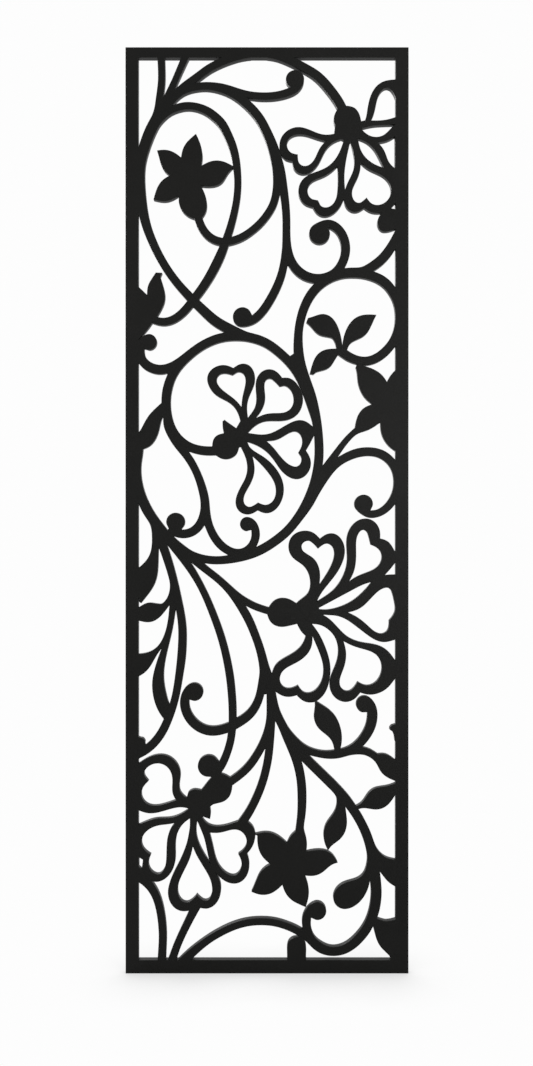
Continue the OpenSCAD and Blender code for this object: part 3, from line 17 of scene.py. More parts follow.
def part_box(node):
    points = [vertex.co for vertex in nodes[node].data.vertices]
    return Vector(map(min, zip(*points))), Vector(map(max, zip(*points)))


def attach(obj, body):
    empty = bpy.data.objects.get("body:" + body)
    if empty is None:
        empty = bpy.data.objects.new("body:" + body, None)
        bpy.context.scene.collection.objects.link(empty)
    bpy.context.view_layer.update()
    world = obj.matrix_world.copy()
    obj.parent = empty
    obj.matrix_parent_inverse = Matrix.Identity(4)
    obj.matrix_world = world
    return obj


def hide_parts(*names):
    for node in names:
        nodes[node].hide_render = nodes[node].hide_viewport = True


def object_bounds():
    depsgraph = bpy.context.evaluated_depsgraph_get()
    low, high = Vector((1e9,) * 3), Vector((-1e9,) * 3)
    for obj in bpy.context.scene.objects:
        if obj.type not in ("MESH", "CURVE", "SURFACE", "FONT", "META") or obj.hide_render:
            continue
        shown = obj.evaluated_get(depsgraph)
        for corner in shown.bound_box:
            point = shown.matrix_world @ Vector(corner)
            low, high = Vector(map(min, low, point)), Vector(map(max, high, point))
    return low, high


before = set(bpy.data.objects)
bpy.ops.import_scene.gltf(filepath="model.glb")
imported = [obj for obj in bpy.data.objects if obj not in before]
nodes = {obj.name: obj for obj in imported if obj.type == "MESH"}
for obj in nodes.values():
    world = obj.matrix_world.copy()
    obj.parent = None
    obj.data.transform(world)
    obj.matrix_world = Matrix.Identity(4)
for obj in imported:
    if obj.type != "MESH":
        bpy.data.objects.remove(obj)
cad_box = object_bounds()
scene = bpy.context.scene

# ---------------------------------------------------------------- opening of the frame
# Its lower left and upper right corner, as (x, z). The right side is read from the end of
# a rail, because a leaf tip grows out of the right stile.
OPENING_LOW = np.array([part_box("left_stile")[1][0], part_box("bottom_rail")[1][2]])
OPENING_HIGH = np.array([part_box("top_rail")[1][0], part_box("top_rail")[0][2]])

# ---------------------------------------------------------------- rounded edges, in metres
EDGE_ROUND = 0.0008             # radius of the coated edges
EDGE_SECTIONS = 4               # sections across a rounded edge
ROUND_SHARE = 0.4               # most of the room inside the metal that a rounded edge takes
WIDE_OPEN = 1.0                 # room at a point that has no metal opposite
MITRE_MAX = 1.6                 # longest inset at a sharp corner, in edge radii
SHARP_EDGE = math.radians(40)   # least turn between the faces at an edge of a bar that is eased
FLAT_TURN = math.radians(0.5)   # faces of a bar that turn by less are one flat face

# ---------------------------------------------------------------- outline of the plate, in metres
STEP_SIDE = 0.0045              # longest side of a small step in the outline
STEP_BEND = math.radians(20)    # least turn at each end of such a step
CORNER_TURN = math.radians(38)  # sharper turns of the outline stay corners
CORNER_NEAR = 0.001             # the stretches that show if a corner is a true one begin
CORNER_FAR = 0.006              # and end this far to each side of it
TRUE_TURN = math.radians(30)    # least turn of a true corner
BULGE = 0.0008                  # most that a smoothed side leaves its chord, at each end
CUBIC_SLOPE = 27.0 / 4.0        # end slope of the cubic s (1 - s)^2 over its greatest height
DRAW_TURN = math.radians(2)     # turn of one step of a smoothed side
DRAW_MOST = 16                  # most steps of a smoothed side
FAIR_STEP = 0.0006              # steps in which the outline is blurred
FAIR_TIGHT = 0.0035             # width of the blur that evens out kinks round a tight curl
FAIR_EASY = 0.010               # and along a vine
BELL_REACH = 3                  # reach of the blur's bell curve, in widths
CURL_REACH = 0.010              # stretch to each side of a point that shows if it is on a curl
CURL_FROM = math.radians(35)    # turn in those stretches at which a curl begins
CURL_FULL = math.radians(80)    # and from which it is a tight one
STEP_TURN = math.radians(7)     # turn of the outline in one step of the plate
STEP_LENGTH = 0.015             # longest step along the outline
END_STEP = 0.0015               # first step at a fixed end of the outline
END_CLEAR = 1.5                 # least place of the next point, in such steps
END_ROOM = 4                    # least length of a run that has them, in such steps

# ---------------------------------------------------------------- limits of the meshes
WELD = 0.000002                 # points nearer than this are one point
SAME = 0.0000002                # sections nearer than this are one, where an edge isn't rounded
FILL_SAME = 1e-7                # points nearer than this are one to the fill of the faces
FILL_INSIDE = 1                 # the fill's number for triangles inside the outlines alone
NO_LENGTH = 1e-12               # least length of a side that something is divided by
NO_RISE = 1e-6                  # least of any other divisor
CHUNK = 500                     # rows of a large table that are worked out at a time

# ---------------------------------------------------------------- black powder coat
COAT_DARK = (0.0070, 0.0070, 0.0062, 1.0)
COAT_LIGHT = (0.0100, 0.0100, 0.0089, 1.0)
# Painted shade: the coat is darkened to this along the rounded edges, where the rim attribute is
# 1.
COAT_EDGE_SHADE = (0.0045, 0.0045, 0.0041, 1.0)
COAT_CLOUD = (5.0, 3.0, 0.55)   # clouds: scale of the noise, octaves and their roughness
COAT_PATCH = (38.0, 2.0, 0.5)   # patches, in the same way
COAT_SPECK = (1600.0, 1.0, 0.5)  # fine speckle
COAT_PEEL = (420.0, 1.0, 0.4)   # orange peel
CLOUD_SHARE = 0.6               # share of the clouds in the tone
SPECK_SHARE = 0.4               # and of the speckle
COAT_ROUGH = (0.40, 0.47)       # roughness through the clouds
PATCH_ROUGH = (-0.02, 0.02)     # change of it through the patches
EDGE_GLOSS = 0.08               # roughness that a rounded edge loses
SPECK_HEIGHT = 0.25             # height of the speckle, in those of the orange peel
PEEL_DEPTH = 0.00022            # depth of the orange peel, in metres
PEEL_STRENGTH = 0.35
COAT_SPECULAR = 0.25

# ---------------------------------------------------------------- blackened screws
SCREW_DARK = (0.0080, 0.0082, 0.0086, 1.0)
SCREW_LIGHT = (0.0170, 0.0168, 0.0165, 1.0)
SCREW_MOTTLE = (350.0, 3.0, 0.6)
SCREW_MARKS = (2600.0, 2.0, 0.5)
SCREW_ROUGH = (0.30, 0.44)      # roughness through the marks
MARK_DEPTH = 0.0001             # in metres
MARK_STRENGTH = 0.3
NOISE_RANGE = (0.3, 0.7)        # where the values of a noise mostly lie

# ---------------------------------------------------------------- studio
WHITE = (0.983, 0.983, 0.983, 1.0)
FULL_WHITE = (1.0, 1.0, 1.0, 1.0)
SKY_LIGHT = 0.34                # light from all round, where 1 is white
BACKDROP_LIGHT = 1.0            # the white backdrop, as the coat's gloss shows it
BACKDROP_FROM = 0.05            # y of a direction in which the backdrop begins
BACKDROP_FULL = 0.45            # y of a direction in which it is at its full light
FLOOR_REACH = 30.0              # distance of the floor's edges
FLOOR_DROP = 0.0005             # gap between the foot and the floor
FLOOR_PAINT = (0.5, 0.5, 0.5, 1.0)
GLOSS_FLOOR = 0.8               # y of the floor from which the gloss sees it white
# Painted shadow at the foot: the white that the camera sees on the floor is darkened by the share
# of the sky seen from it.
PAINTED_SHADOW_REACH = 0.14              # how far the shade at the foot spreads
PAINTED_SHADOW_DARK = 0.62               # its darkest tone, where 1 is the white of the floor
PAINTED_SHADOW_FROM = 0.30               # share of the sky seen from the floor where it is darkest
PAINTED_SHADOW_TO = 0.97                 # and where it ends
PAINTED_SHADOW_RAYS = 16
# Name, place, point aimed at, width and height, watts
LAMPS = (
    ("key", (2.5, -1.7, 2.9), (0.0, 0.0, 1.0), (1.6, 1.6), 42.0),
    ("fill", (-2.4, -1.6, 1.8), (0.0, 0.0, 0.9), (1.6, 1.6), 24.0),
    ("glow", (1.2, -3.0, 1.0), (0.2, 0.0, 1.0), (1.6, 1.0), 9.0),
    ("back", (-1.9, 2.2, 2.6), (0.0, 0.0, 1.0), (1.6, 1.6), 50.0),
)

# ---------------------------------------------------------------- camera
EYE = (-0.001, -1.646, 0.8582)
LENS = 28.505                   # focal length, in millimetres
FILM_WIDTH = 36.0               # in millimetres
LOOK_DOWN = math.radians(0.06)
SIGHT = (0.01, 100.0)           # nearest and furthest thing in sight


# ---------------------------------------------------------------- node helpers
class Tree:
    """Short calls for the nodes of one material or world."""

    def __init__(self, owner):
        owner.use_nodes = True
        self.tree = owner.node_tree
        self.tree.nodes.clear()

    def put(self, socket, value):
        """Links a socket to an output, or sets it to a plain value."""
        if isinstance(value, bpy.types.NodeSocket):
            self.tree.links.new(value, socket)
        else:
            socket.default_value = value

    def node(self, kind, inputs=None, **settings):
        """A node of that kind, with its settings, and its inputs set or linked."""
        made = self.tree.nodes.new(kind)
        for key, value in settings.items():
            setattr(made, key, value)
        for key, value in (inputs or {}).items():
            self.put(made.inputs[key], value)
        return made

    def maths(self, operation, a, b):
        """One operation on two values."""
        return self.node("ShaderNodeMath", {0: a, 1: b}, operation=operation).outputs[0]

    def noise(self, place, scale, detail, rough):
        """A cloudy pattern in space, of a scale, a number of octaves and their roughness."""
        return self.node("ShaderNodeTexNoise", {
            "Vector": place, "Scale": scale, "Detail": detail,
            "Roughness": rough}).outputs["Fac"]

    def blend(self, factor, low, high):
        """Mix of two colours by a factor."""
        made = self.node("ShaderNodeMix", data_type="RGBA")
        self.put(made.inputs["Factor"], factor)
        self.put(made.inputs["A"], low)
        self.put(made.inputs["B"], high)
        return made.outputs["Result"]

    def ramp(self, value, start, stop, low, high):
        """Maps start and stop to low and high in a straight line, and keeps to that range."""
        return self.node("ShaderNodeMapRange", {
            "Value": value, "From Min": start, "From Max": stop,
            "To Min": low, "To Max": high}).outputs["Result"]

    def spread(self, value, low, high):
        """Maps the range where a noise mostly lies to low and high."""
        return self.ramp(value, *NOISE_RANGE, low, high)

    def object_place(self):
        """The place of a point on its object."""
        return self.node("ShaderNodeTexCoord").outputs["Object"]


# ---------------------------------------------------------------- finishes
def powder_coat():
    """Satin black powder coat: cloudy tone, fine speckle, orange peel, painted shade along the
    rounded edges.
    """
    finish = bpy.data.materials.new("powder_coat")
    tree = Tree(finish)
    place = tree.object_place()
    cloud = tree.noise(place, *COAT_CLOUD)
    patch = tree.noise(place, *COAT_PATCH)
    speck = tree.noise(place, *COAT_SPECK)
    peel = tree.noise(place, *COAT_PEEL)
    cloudy = tree.maths("MULTIPLY", cloud, CLOUD_SHARE)
    speckled = tree.maths("MULTIPLY", speck, SPECK_SHARE)
    tone = tree.spread(tree.maths("ADD", cloudy, speckled), 0.0, 1.0)
    rim = tree.node("ShaderNodeAttribute", attribute_name="rim").outputs["Fac"]
    # The rim darkens the colour along the rounded edges: painted shade, not a colour of the coat.
    colour = tree.blend(rim, tree.blend(tone, COAT_DARK, COAT_LIGHT), COAT_EDGE_SHADE)
    face_rough = tree.maths("ADD", tree.spread(cloud, *COAT_ROUGH),
                            tree.spread(patch, *PATCH_ROUGH))
    rough = tree.maths("SUBTRACT", face_rough, tree.maths("MULTIPLY", rim, EDGE_GLOSS))
    height = tree.maths("ADD", peel, tree.maths("MULTIPLY", speck, SPECK_HEIGHT))
    bump = tree.node("ShaderNodeBump", {
        "Strength": PEEL_STRENGTH, "Distance": PEEL_DEPTH, "Height": height})
    shader = tree.node("ShaderNodeBsdfPrincipled", {
        "Base Color": colour, "Roughness": rough, "Normal": bump.outputs["Normal"],
        "Specular IOR Level": COAT_SPECULAR})
    tree.node("ShaderNodeOutputMaterial", {"Surface": shader.outputs["BSDF"]})
    return finish


def black_screw():
    """Blackened steel of the screws: mottled tone, fine marks, a little gloss."""
    finish = bpy.data.materials.new("black_screw")
    tree = Tree(finish)
    place = tree.object_place()
    mottle = tree.noise(place, *SCREW_MOTTLE)
    marks = tree.noise(place, *SCREW_MARKS)
    colour = tree.blend(tree.spread(mottle, 0.0, 1.0), SCREW_DARK, SCREW_LIGHT)
    rough = tree.spread(marks, *SCREW_ROUGH)
    bump = tree.node("ShaderNodeBump", {
        "Strength": MARK_STRENGTH, "Distance": MARK_DEPTH, "Height": marks})
    shader = tree.node("ShaderNodeBsdfPrincipled", {
        "Base Color": colour, "Roughness": rough, "Normal": bump.outputs["Normal"]})
    tree.node("ShaderNodeOutputMaterial", {"Surface": shader.outputs["BSDF"]})
    return finish


def set_finish(piece, finish):
    """Gives every material slot of a piece one finish."""
    slots = piece.data.materials
    if not slots:
        slots.append(finish)
    for i in range(len(slots)):
        slots[i] = finish


# ---------------------------------------------------------------- mesh helpers
def shown(mesh):
    """The object that shows a mesh."""
    piece = bpy.data.objects.new(mesh.name, mesh)
    scene.collection.objects.link(piece)
    return piece


def merge_near(shape, distance):
    """Makes the points of a shape that are nearer than a distance one."""
    bmesh.ops.remove_doubles(shape, verts=shape.verts, dist=distance)


# ---------------------------------------------------------------- runs and outlines
# A run is a row of points (x, z). An outline is a closed one, whose last point is joined
# to its first. It runs with the solid on its left.
def closed_run(points):
    """An outline as a run that ends where it begins."""
    return np.vstack([points, points[:1]])


def lengths_along(run):
    """Length of a run up to each of its points."""
    return np.concatenate([[0.0], np.cumsum(np.linalg.norm(np.diff(run, axis=0), axis=1))])


def read_at(run, length, places):
    """Points of a run at some lengths along it."""
    return np.column_stack([np.interp(places, length, run[:, k]) for k in (0, 1)])


def carried_on(run, before, after, closed):
    """A run continued by some points past each end.

    A closed run goes round again. An open one is turned about its end.
    """
    if closed:
        return np.pad(run, ((before, after), (0, 0)), mode="wrap")
    return np.pad(run, ((before, after), (0, 0)), mode="reflect", reflect_type="odd")


def headings(run):
    """Direction of each side of a run, counted on through full turns."""
    side = np.diff(run, axis=0)
    return np.unwrap(np.arctan2(side[:, 1], side[:, 0]))


def turn_between(before, after):
    """Angle from each of some directions to another, positive to the left."""
    cross = before[:, 0] * after[:, 1] - before[:, 1] * after[:, 0]
    return np.arctan2(cross, np.sum(before * after, axis=1))


def turn_angles(points):
    """Turn of an outline at each of its points."""
    side = np.roll(points, -1, axis=0) - points
    return turn_between(np.roll(side, 1, axis=0), side)


def on_bars(points):
    """Which points lie on the inner sides of the frame bars."""
    gap = np.minimum(np.abs(points - OPENING_LOW), np.abs(points - OPENING_HIGH))
    return (gap < 2 * WELD).any(axis=1)


# ---------------------------------------------------------------- outline of the CAD plate
def merged_triangles(mesh):
    """Points of a mesh, where those nearer than WELD are one, and its triangles on them."""
    points = np.empty(len(mesh.vertices) * 3)
    mesh.vertices.foreach_get("co", points)
    points = points.reshape(-1, 3)
    mesh.calc_loop_triangles()
    corners = np.empty(len(mesh.loop_triangles) * 3, dtype=np.int64)
    mesh.loop_triangles.foreach_get("vertices", corners)
    keys = np.round(points / WELD).astype(np.int64)
    _, first, same = np.unique(keys, axis=0, return_index=True, return_inverse=True)
    return points[first], same.reshape(-1)[corners].reshape(-1, 3)


def joined_sides(sides):
    """Sides, as pairs of point numbers, joined end to end to closed rows of numbers."""
    follow = {}
    for a, b in sides.tolist():
        follow.setdefault(a, []).append(b)
    rows = []
    while follow:
        start = at = next(iter(follow))
        row = []
        while not row or at != start:
            row.append(at)
            ahead = follow[at].pop()
            if not follow[at]:
                del follow[at]
            at = ahead
        rows.append(row)
    return rows


def front_loops(node):
    """Outlines of a plate's front face.

    The front triangles lie on the lowest y. A side that only one of them has is part of
    an outline, and keeps the triangle's direction.
    """
    points, corners = merged_triangles(node.data)
    front = np.all(points[corners][:, :, 1] < points[:, 1].min() + WELD, axis=1)
    corners = corners[front]
    sides = np.concatenate([corners[:, [0, 1]], corners[:, [1, 2]], corners[:, [2, 0]]])
    ahead = sides[:, 0] * len(points) + sides[:, 1]
    back = sides[:, 1] * len(points) + sides[:, 0]
    lone = sides[~np.isin(ahead, back)]
    return [points[row][:, [0, 2]] for row in joined_sides(lone)]


def join_steps(points):
    """The outline without its small steps, where one vine runs out on the side of another.

    A step is a short side between a turn to one hand and a like turn to the other. Its
    two points become one in their middle. A gentle point within STEP_SIDE of that middle
    belongs to the same unevenness, and is left out.
    """
    turn = turn_angles(points)
    after = np.roll(turn, -1)
    ahead = np.roll(points, -1, axis=0)
    short = np.linalg.norm(ahead - points, axis=1) < STEP_SIDE
    bent = (np.abs(turn) > STEP_BEND) & (np.abs(after) > STEP_BEND)
    straight_on = (turn * after < 0) & (np.abs(turn + after) < TRUE_TURN)
    step = short & bent & straight_on & ~on_bars(points) & ~on_bars(ahead)
    step &= ~np.roll(step, 1)
    kept = ~np.roll(step, 1)
    joined = np.where(step[:, None], (points + ahead) / 2, points)[kept]
    middle = step[kept]
    close = np.linalg.norm(np.roll(joined, -1, axis=0) - joined, axis=1) < STEP_SIDE
    beside = (np.roll(middle, -1) & close) | (np.roll(middle & close, 1))
    gentle = np.abs(turn_angles(joined)) < CORNER_TURN
    return joined[~(beside & gentle & ~middle & ~on_bars(joined))]


def smooth_loop(points, on_bar):
    """A smooth outline through the points, and which of its points are corners.

    Each side becomes a cubic whose ends follow the circle through three neighbouring
    points: the end slope against the chord is the turn, shared by the lengths of the two
    sides. Corners, and sides on the frame bars, keep straight ends. A slope is limited
    so that the side leaves its chord by no more than BULGE at that end.
    """
    turn = turn_angles(points)
    side = np.roll(points, -1, axis=0) - points
    length = np.linalg.norm(side, axis=1)
    before = np.roll(length, 1)
    is_corner = np.abs(turn) > CORNER_TURN
    whole = np.where(is_corner, 0.0, turn)
    start_slope = -whole * length / (length + before)
    end_slope = np.roll(whole * before / (length + before), -1)
    limit = CUBIC_SLOPE * BULGE / length
    straight = on_bar & np.roll(on_bar, -1)
    start_slope = np.where(straight, 0.0, np.clip(start_slope, -limit, limit))
    end_slope = np.where(straight, 0.0, np.clip(end_slope, -limit, limit))
    bend = np.abs(start_slope) + np.abs(end_slope)
    steps = np.clip(np.ceil(bend / DRAW_TURN), 1, DRAW_MOST).astype(int)
    owner = np.repeat(np.arange(len(points)), steps)
    count = np.repeat(steps, steps)
    index = np.arange(len(owner)) - np.repeat(np.cumsum(steps) - steps, steps)
    way = index / count
    across = np.column_stack([-side[:, 1], side[:, 0]])
    rise = start_slope[owner] * way * (1 - way) ** 2 - end_slope[owner] * way ** 2 * (1 - way)
    out = points[owner] + side[owner] * way[:, None] + across[owner] * rise[:, None]
    return out, is_corner[owner] & (index == 0)


def true_corners(points, corner):
    """Which corners still turn the outline when the stretches beside them are looked at.

    The direction of the outline from CORNER_FAR to CORNER_NEAR before a corner is held
    against its direction from CORNER_NEAR to CORNER_FAR after it.
    """
    closed = closed_run(points)
    length = lengths_along(closed)

    def past(reach):
        return read_at(closed, length, np.mod(length[:-1] + reach, length[-1]))

    before = past(-CORNER_NEAR) - past(-CORNER_FAR)
    after = past(CORNER_FAR) - past(CORNER_NEAR)
    return corner & (np.abs(turn_between(before, after)) > TRUE_TURN)


def blur(run, width, closed):
    """A run of even steps, blurred with 2G - G*G, where G is a bell curve of that width.

    That kernel evens out kinks and leaves wide arcs in place. It keeps the ends of an
    open run fixed, because the run is turned about them.
    """
    reach = int(BELL_REACH * width / FAIR_STEP)
    bell = np.exp(-0.5 * (np.arange(-reach, reach + 1) * FAIR_STEP / width) ** 2)
    bell /= bell.sum()
    kernel = -np.convolve(bell, bell)
    kernel[reach:-reach] += 2 * bell
    wide = carried_on(run, 2 * reach, 2 * reach, closed)
    return np.column_stack([np.convolve(wide[:, k], kernel, mode="valid") for k in (0, 1)])


def fair_run(run, closed):
    """A run with its kinks evened out: widely along the vines, narrowly round tight curls.

    The share of the narrow blur grows with the turn of the run from CURL_REACH before a
    point to CURL_REACH after it, and eases in and out.
    """
    tight = blur(run, FAIR_TIGHT, closed)
    easy = blur(run, FAIR_EASY, closed)
    reach = int(CURL_REACH / FAIR_STEP)
    heading = headings(carried_on(tight, reach, reach + 1, closed))
    turn = np.abs(heading[2 * reach:] - heading[:-2 * reach])
    share = np.clip((turn - CURL_FROM) / (CURL_FULL - CURL_FROM), 0.0, 1.0)[:, None]
    share = share * share * (3 - 2 * share)
    return easy + (tight - easy) * share


def even_steps(run):
    """A run, read again about every FAIR_STEP along its length."""
    length = lengths_along(run)
    count = max(2, int(round(length[-1] / FAIR_STEP)) + 1)
    return read_at(run, length, np.linspace(0.0, length[-1], count))


def thin_out(run, fixed_ends):
    """A run with few points: each step turns by STEP_TURN or less, and has STEP_LENGTH or less.

    The measure of a place is its length over STEP_LENGTH plus the turn up to it over
    STEP_TURN, and the points lie at whole measures. Near a fixed end one more point lies
    at END_STEP, where the rounding of the edge reaches its full size.
    """
    length = lengths_along(run)
    turn = np.concatenate([[0.0], np.cumsum(np.abs(np.diff(headings(run)))), [0.0]])
    turn[-1] = turn[-2]
    measure = length / STEP_LENGTH + turn / STEP_TURN
    count = int(math.ceil(measure[-1]))
    places = np.interp(np.linspace(0.0, measure[-1], count + 1), measure, length)
    if fixed_ends and length[-1] > END_ROOM * END_STEP:
        clear = END_CLEAR * END_STEP
        inner = places[(places > clear) & (places < length[-1] - clear)]
        places = np.concatenate([[0.0, END_STEP], inner, [length[-1] - END_STEP, length[-1]]])
    return read_at(run, length, places)


def fair_loop(points, corner, on_bar):
    """The outline with its small kinks evened out between its true corners and the bars.

    Gives its points and which of them are corners.
    """
    fixed = np.flatnonzero(true_corners(points, corner) | on_bar)
    if not len(fixed):
        ring = fair_run(even_steps(closed_run(points))[:-1], True)
        ring = thin_out(closed_run(ring), False)[:-1]
        return ring, np.zeros(len(ring), dtype=bool)
    turned = closed_run(np.roll(points, -fixed[0], axis=0))
    bar_turned = np.roll(on_bar, -fixed[0])
    marks = np.append(fixed - fixed[0], len(points))
    parts = []
    ends = []
    for first, last in zip(marks[:-1], marks[1:]):
        run = turned[first:last + 1]
        flat_on_bar = bar_turned[first] and bar_turned[last % len(points)] and last == first + 1
        if not flat_on_bar:
            run = thin_out(fair_run(even_steps(run), False), True)
        parts.append(run[:-1])
        ends += [True] + [False] * (len(run) - 2)
    return np.concatenate(parts), np.array(ends)


def draw_loop(loop):
    """An outline of the CAD solid, smoothed and faired, and which of its points are corners."""
    loop = join_steps(loop)
    points, corner = smooth_loop(loop, on_bars(loop))
    return fair_loop(points, corner, on_bars(points))


# ---------------------------------------------------------------- cut plate
def inward(points):
    """Unit inset of each point of an outline, and its lengthening at corners, up to MITRE_MAX.

    The inset bisects the normals of the two sides, and is divided by the cosine of half
    of their turn.
    """
    side = np.roll(points, -1, axis=0) - points
    side /= np.maximum(np.linalg.norm(side, axis=1), NO_LENGTH)[:, None]
    normal = np.column_stack([-side[:, 1], side[:, 0]])
    both = normal + np.roll(normal, 1, axis=0)
    size = np.maximum(np.linalg.norm(both, axis=1), NO_RISE)
    return both / size[:, None], np.minimum(2 / size, MITRE_MAX)


def room_inside(points, normals):
    """Radius of the largest disc inside the solid that touches the outline at each point.

    A disc that touches at p with its centre along the normal n passes through q when its
    radius is |q - p|^2 / (2 n.(q - p)). The least of these over all q is the radius. It
    touches a bar that lies a gap away in the direction u when it is gap / (1 + n.u).
    """
    room = np.empty(len(points))
    for first in range(0, len(points), CHUNK):
        some = slice(first, first + CHUNK)
        gap = points[None] - points[some, None]
        rise = np.einsum("ijk,ik->ij", gap, normals[some])
        far = np.einsum("ijk,ijk->ij", gap, gap)
        size = np.where(rise > NO_RISE, far / (2 * np.maximum(rise, NO_RISE)), WIDE_OPEN)
        room[some] = size.min(axis=1)
    for gap, rise in ((points - OPENING_LOW, -normals), (OPENING_HIGH - points, normals)):
        room = np.minimum(room, (gap / np.maximum(1 + rise, NO_RISE)).min(axis=1))
    return room


def inside(places, starts, ends):
    """Which places lie inside some outlines, given by the starts and ends of their sides.

    A ray from such a place towards +x crosses the sides an odd number of times.
    """
    slanted = starts[:, 1] != ends[:, 1]
    x0, z0 = starts[slanted].T
    x1, z1 = ends[slanted].T
    odd = np.empty(len(places), dtype=bool)
    for first in range(0, len(places), CHUNK):
        some = slice(first, first + CHUNK)
        x, z = places[some, :1], places[some, 1:]
        level = (z0 > z) != (z1 > z)
        ahead = x < x0 + (z - z0) * (x1 - x0) / (z1 - z0)
        odd[some] = np.sum(level & ahead, axis=1) % 2 == 1
    return odd


def plate_sections(points, inset, radius, front, back):
    """Places of all sections of the outlines, from the front face round to the back face.

    At angle a from a face, a section is inset by R (1 - sin a) and lies R (1 - cos a)
    behind that face, so the walls keep the outline.
    """
    angle = np.linspace(0.0, math.pi / 2, EDGE_SECTIONS)
    pull = 1 - np.sin(angle)
    drop = (1 - np.cos(angle))[:, None] * radius
    flat = points[None] + inset[None] * np.concatenate([pull, pull[::-1]])[:, None, None]
    place = np.empty((2 * EDGE_SECTIONS, len(points), 3))
    place[:, :, [0, 2]] = flat
    place[:EDGE_SECTIONS, :, 1] = front + drop
    place[EDGE_SECTIONS:, :, 1] = back - drop[::-1]
    return place


def face_fill(line, ahead):
    """Triangles that fill the front face, as point numbers that run with the outlines.

    They are the Delaunay triangles with all their corners on the outlines and their
    middles inside them.
    """
    here = np.arange(len(line))
    _, _, fill, given, _, _ = delaunay_2d_cdt(
        [Vector(point) for point in line.tolist()],
        np.column_stack([here, ahead]).tolist(), [], FILL_INSIDE, FILL_SAME)
    names = np.array([group[0] if group else -1 for group in given])
    fill = names[np.array(fill)]
    fill = fill[(fill >= 0).all(axis=1)]
    a, b, c = (line[fill[:, i]] for i in range(3))
    area = (b - a)[:, 0] * (c - a)[:, 1] - (b - a)[:, 1] * (c - a)[:, 0]
    fill[area < 0] = fill[area < 0][:, ::-1]
    return fill[inside((a + b + c) / 3, line, line[ahead])]


def mark_plate(mesh, wall_count, corner, flush):
    """Makes the walls smooth, sharpens their corners, and writes the attribute rim.

    The rim is 1 round the rounded edges, and 0 on the faces, the walls and the bars; the coat
    paints shade along it. A point's number within its section is its column, and an upright
    edge has one column.
    """
    total = len(corner)
    mesh.polygons.foreach_set("use_smooth", np.arange(len(mesh.polygons)) < wall_count)
    ends = np.empty(len(mesh.edges) * 2, dtype=np.int64)
    mesh.edges.foreach_get("vertices", ends)
    column = ends.reshape(-1, 2) % total
    upright = column[:, 0] == column[:, 1]
    mesh.edges.foreach_set("use_edge_sharp", upright & corner[column[:, 0]])
    rim = np.zeros((2 * EDGE_SECTIONS, total), dtype=np.float32)
    rim[1:EDGE_SECTIONS - 1] = 1.0
    rim[1 - EDGE_SECTIONS:-1] = 1.0
    rim[:, flush] = 0.0
    mesh.attributes.new("rim", "FLOAT", "POINT").data.foreach_set("value", rim.reshape(-1))


def rounded_plate(name, loops, front, back):
    """A plate between two faces, with the edges of its outlines rounded in quarter circles.

    Every outline point is carried through a row of sections round to the back. Their
    radius is EDGE_ROUND, or ROUND_SHARE of the room inside where the metal is thin. Points
    on the frame bars aren't inset, so plate and bars meet flush, and their sections
    become one. The faces are filled inside the outlines.
    """
    drawn = [draw_loop(loop) for loop in loops]
    points = np.concatenate([part[0] for part in drawn])
    corner = np.concatenate([part[1] for part in drawn])
    insets = [inward(part[0]) for part in drawn]
    normals = np.concatenate([part[0] for part in insets])
    mitre = np.concatenate([part[1] for part in insets])
    flush = on_bars(points)
    radius = np.minimum(EDGE_ROUND, ROUND_SHARE * room_inside(points, normals))
    radius[flush] = 0.0
    inset = normals * (mitre * radius)[:, None]
    place = plate_sections(points, inset, radius, front, back)

    rows, total = place.shape[:2]
    sizes = np.array([len(part[0]) for part in drawn])
    starts = np.cumsum(sizes) - sizes
    here = np.arange(total)
    ahead = here + 1
    ahead[starts + sizes - 1] = starts
    row = np.arange(rows - 1)[:, None] * total
    walls = np.stack([row + here, row + total + here, row + total + ahead, row + ahead],
                     axis=-1).reshape(-1, 4)
    fill = face_fill(place[0][:, [0, 2]], ahead)
    back_fill = fill[:, ::-1] + (rows - 1) * total
    mesh = bpy.data.meshes.new(name)
    mesh.from_pydata(place.reshape(-1, 3).tolist(), [],
                     walls.tolist() + fill.tolist() + back_fill.tolist())
    mark_plate(mesh, len(walls), corner, flush)
    shape = bmesh.new()
    shape.from_mesh(mesh)
    merge_near(shape, SAME)
    shape.to_mesh(mesh)
    shape.free()
    return shown(mesh)


# ---------------------------------------------------------------- bars
def contact_lines(loops):
    """Where pieces of the frame meet flush, as rows of (x, z, x, z).

    They are the sides of the plate's outlines that lie on a bar, and the joints between
    stiles and rails.
    """
    sides = np.concatenate([np.hstack([loop, np.roll(loop, -1, axis=0)]) for loop in loops])
    on_bar = on_bars(sides[:, :2]) & on_bars(sides[:, 2:])
    left, low = OPENING_LOW
    right, high = OPENING_HIGH
    foot, top = cad_box[0][2], cad_box[1][2]
    joints = [(x, a, x, b) for x in (left, right) for a, b in ((foot, low), (high, top))]
    return np.vstack([sides[on_bar], joints])


def contacts_on(node_name, contacts):
    """The contacts whose middle lies on a bar."""
    low, high = (np.array(corner)[[0, 2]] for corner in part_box(node_name))
    middle = (contacts[:, :2] + contacts[:, 2:]) / 2
    return contacts[np.all((middle > low - WELD) & (middle < high + WELD), axis=1)]


def gap_to_contacts(place, contacts):
    """Distance from a place (x, z) to the nearest point of the nearest contact."""
    starts, ends = contacts[:, :2], contacts[:, 2:]
    along = ends - starts
    share = np.sum((place - starts) * along, axis=1) / np.sum(along ** 2, axis=1)
    nearest = starts + along * np.clip(share, 0, 1)[:, None]
    return np.linalg.norm(nearest - place, axis=1).min()


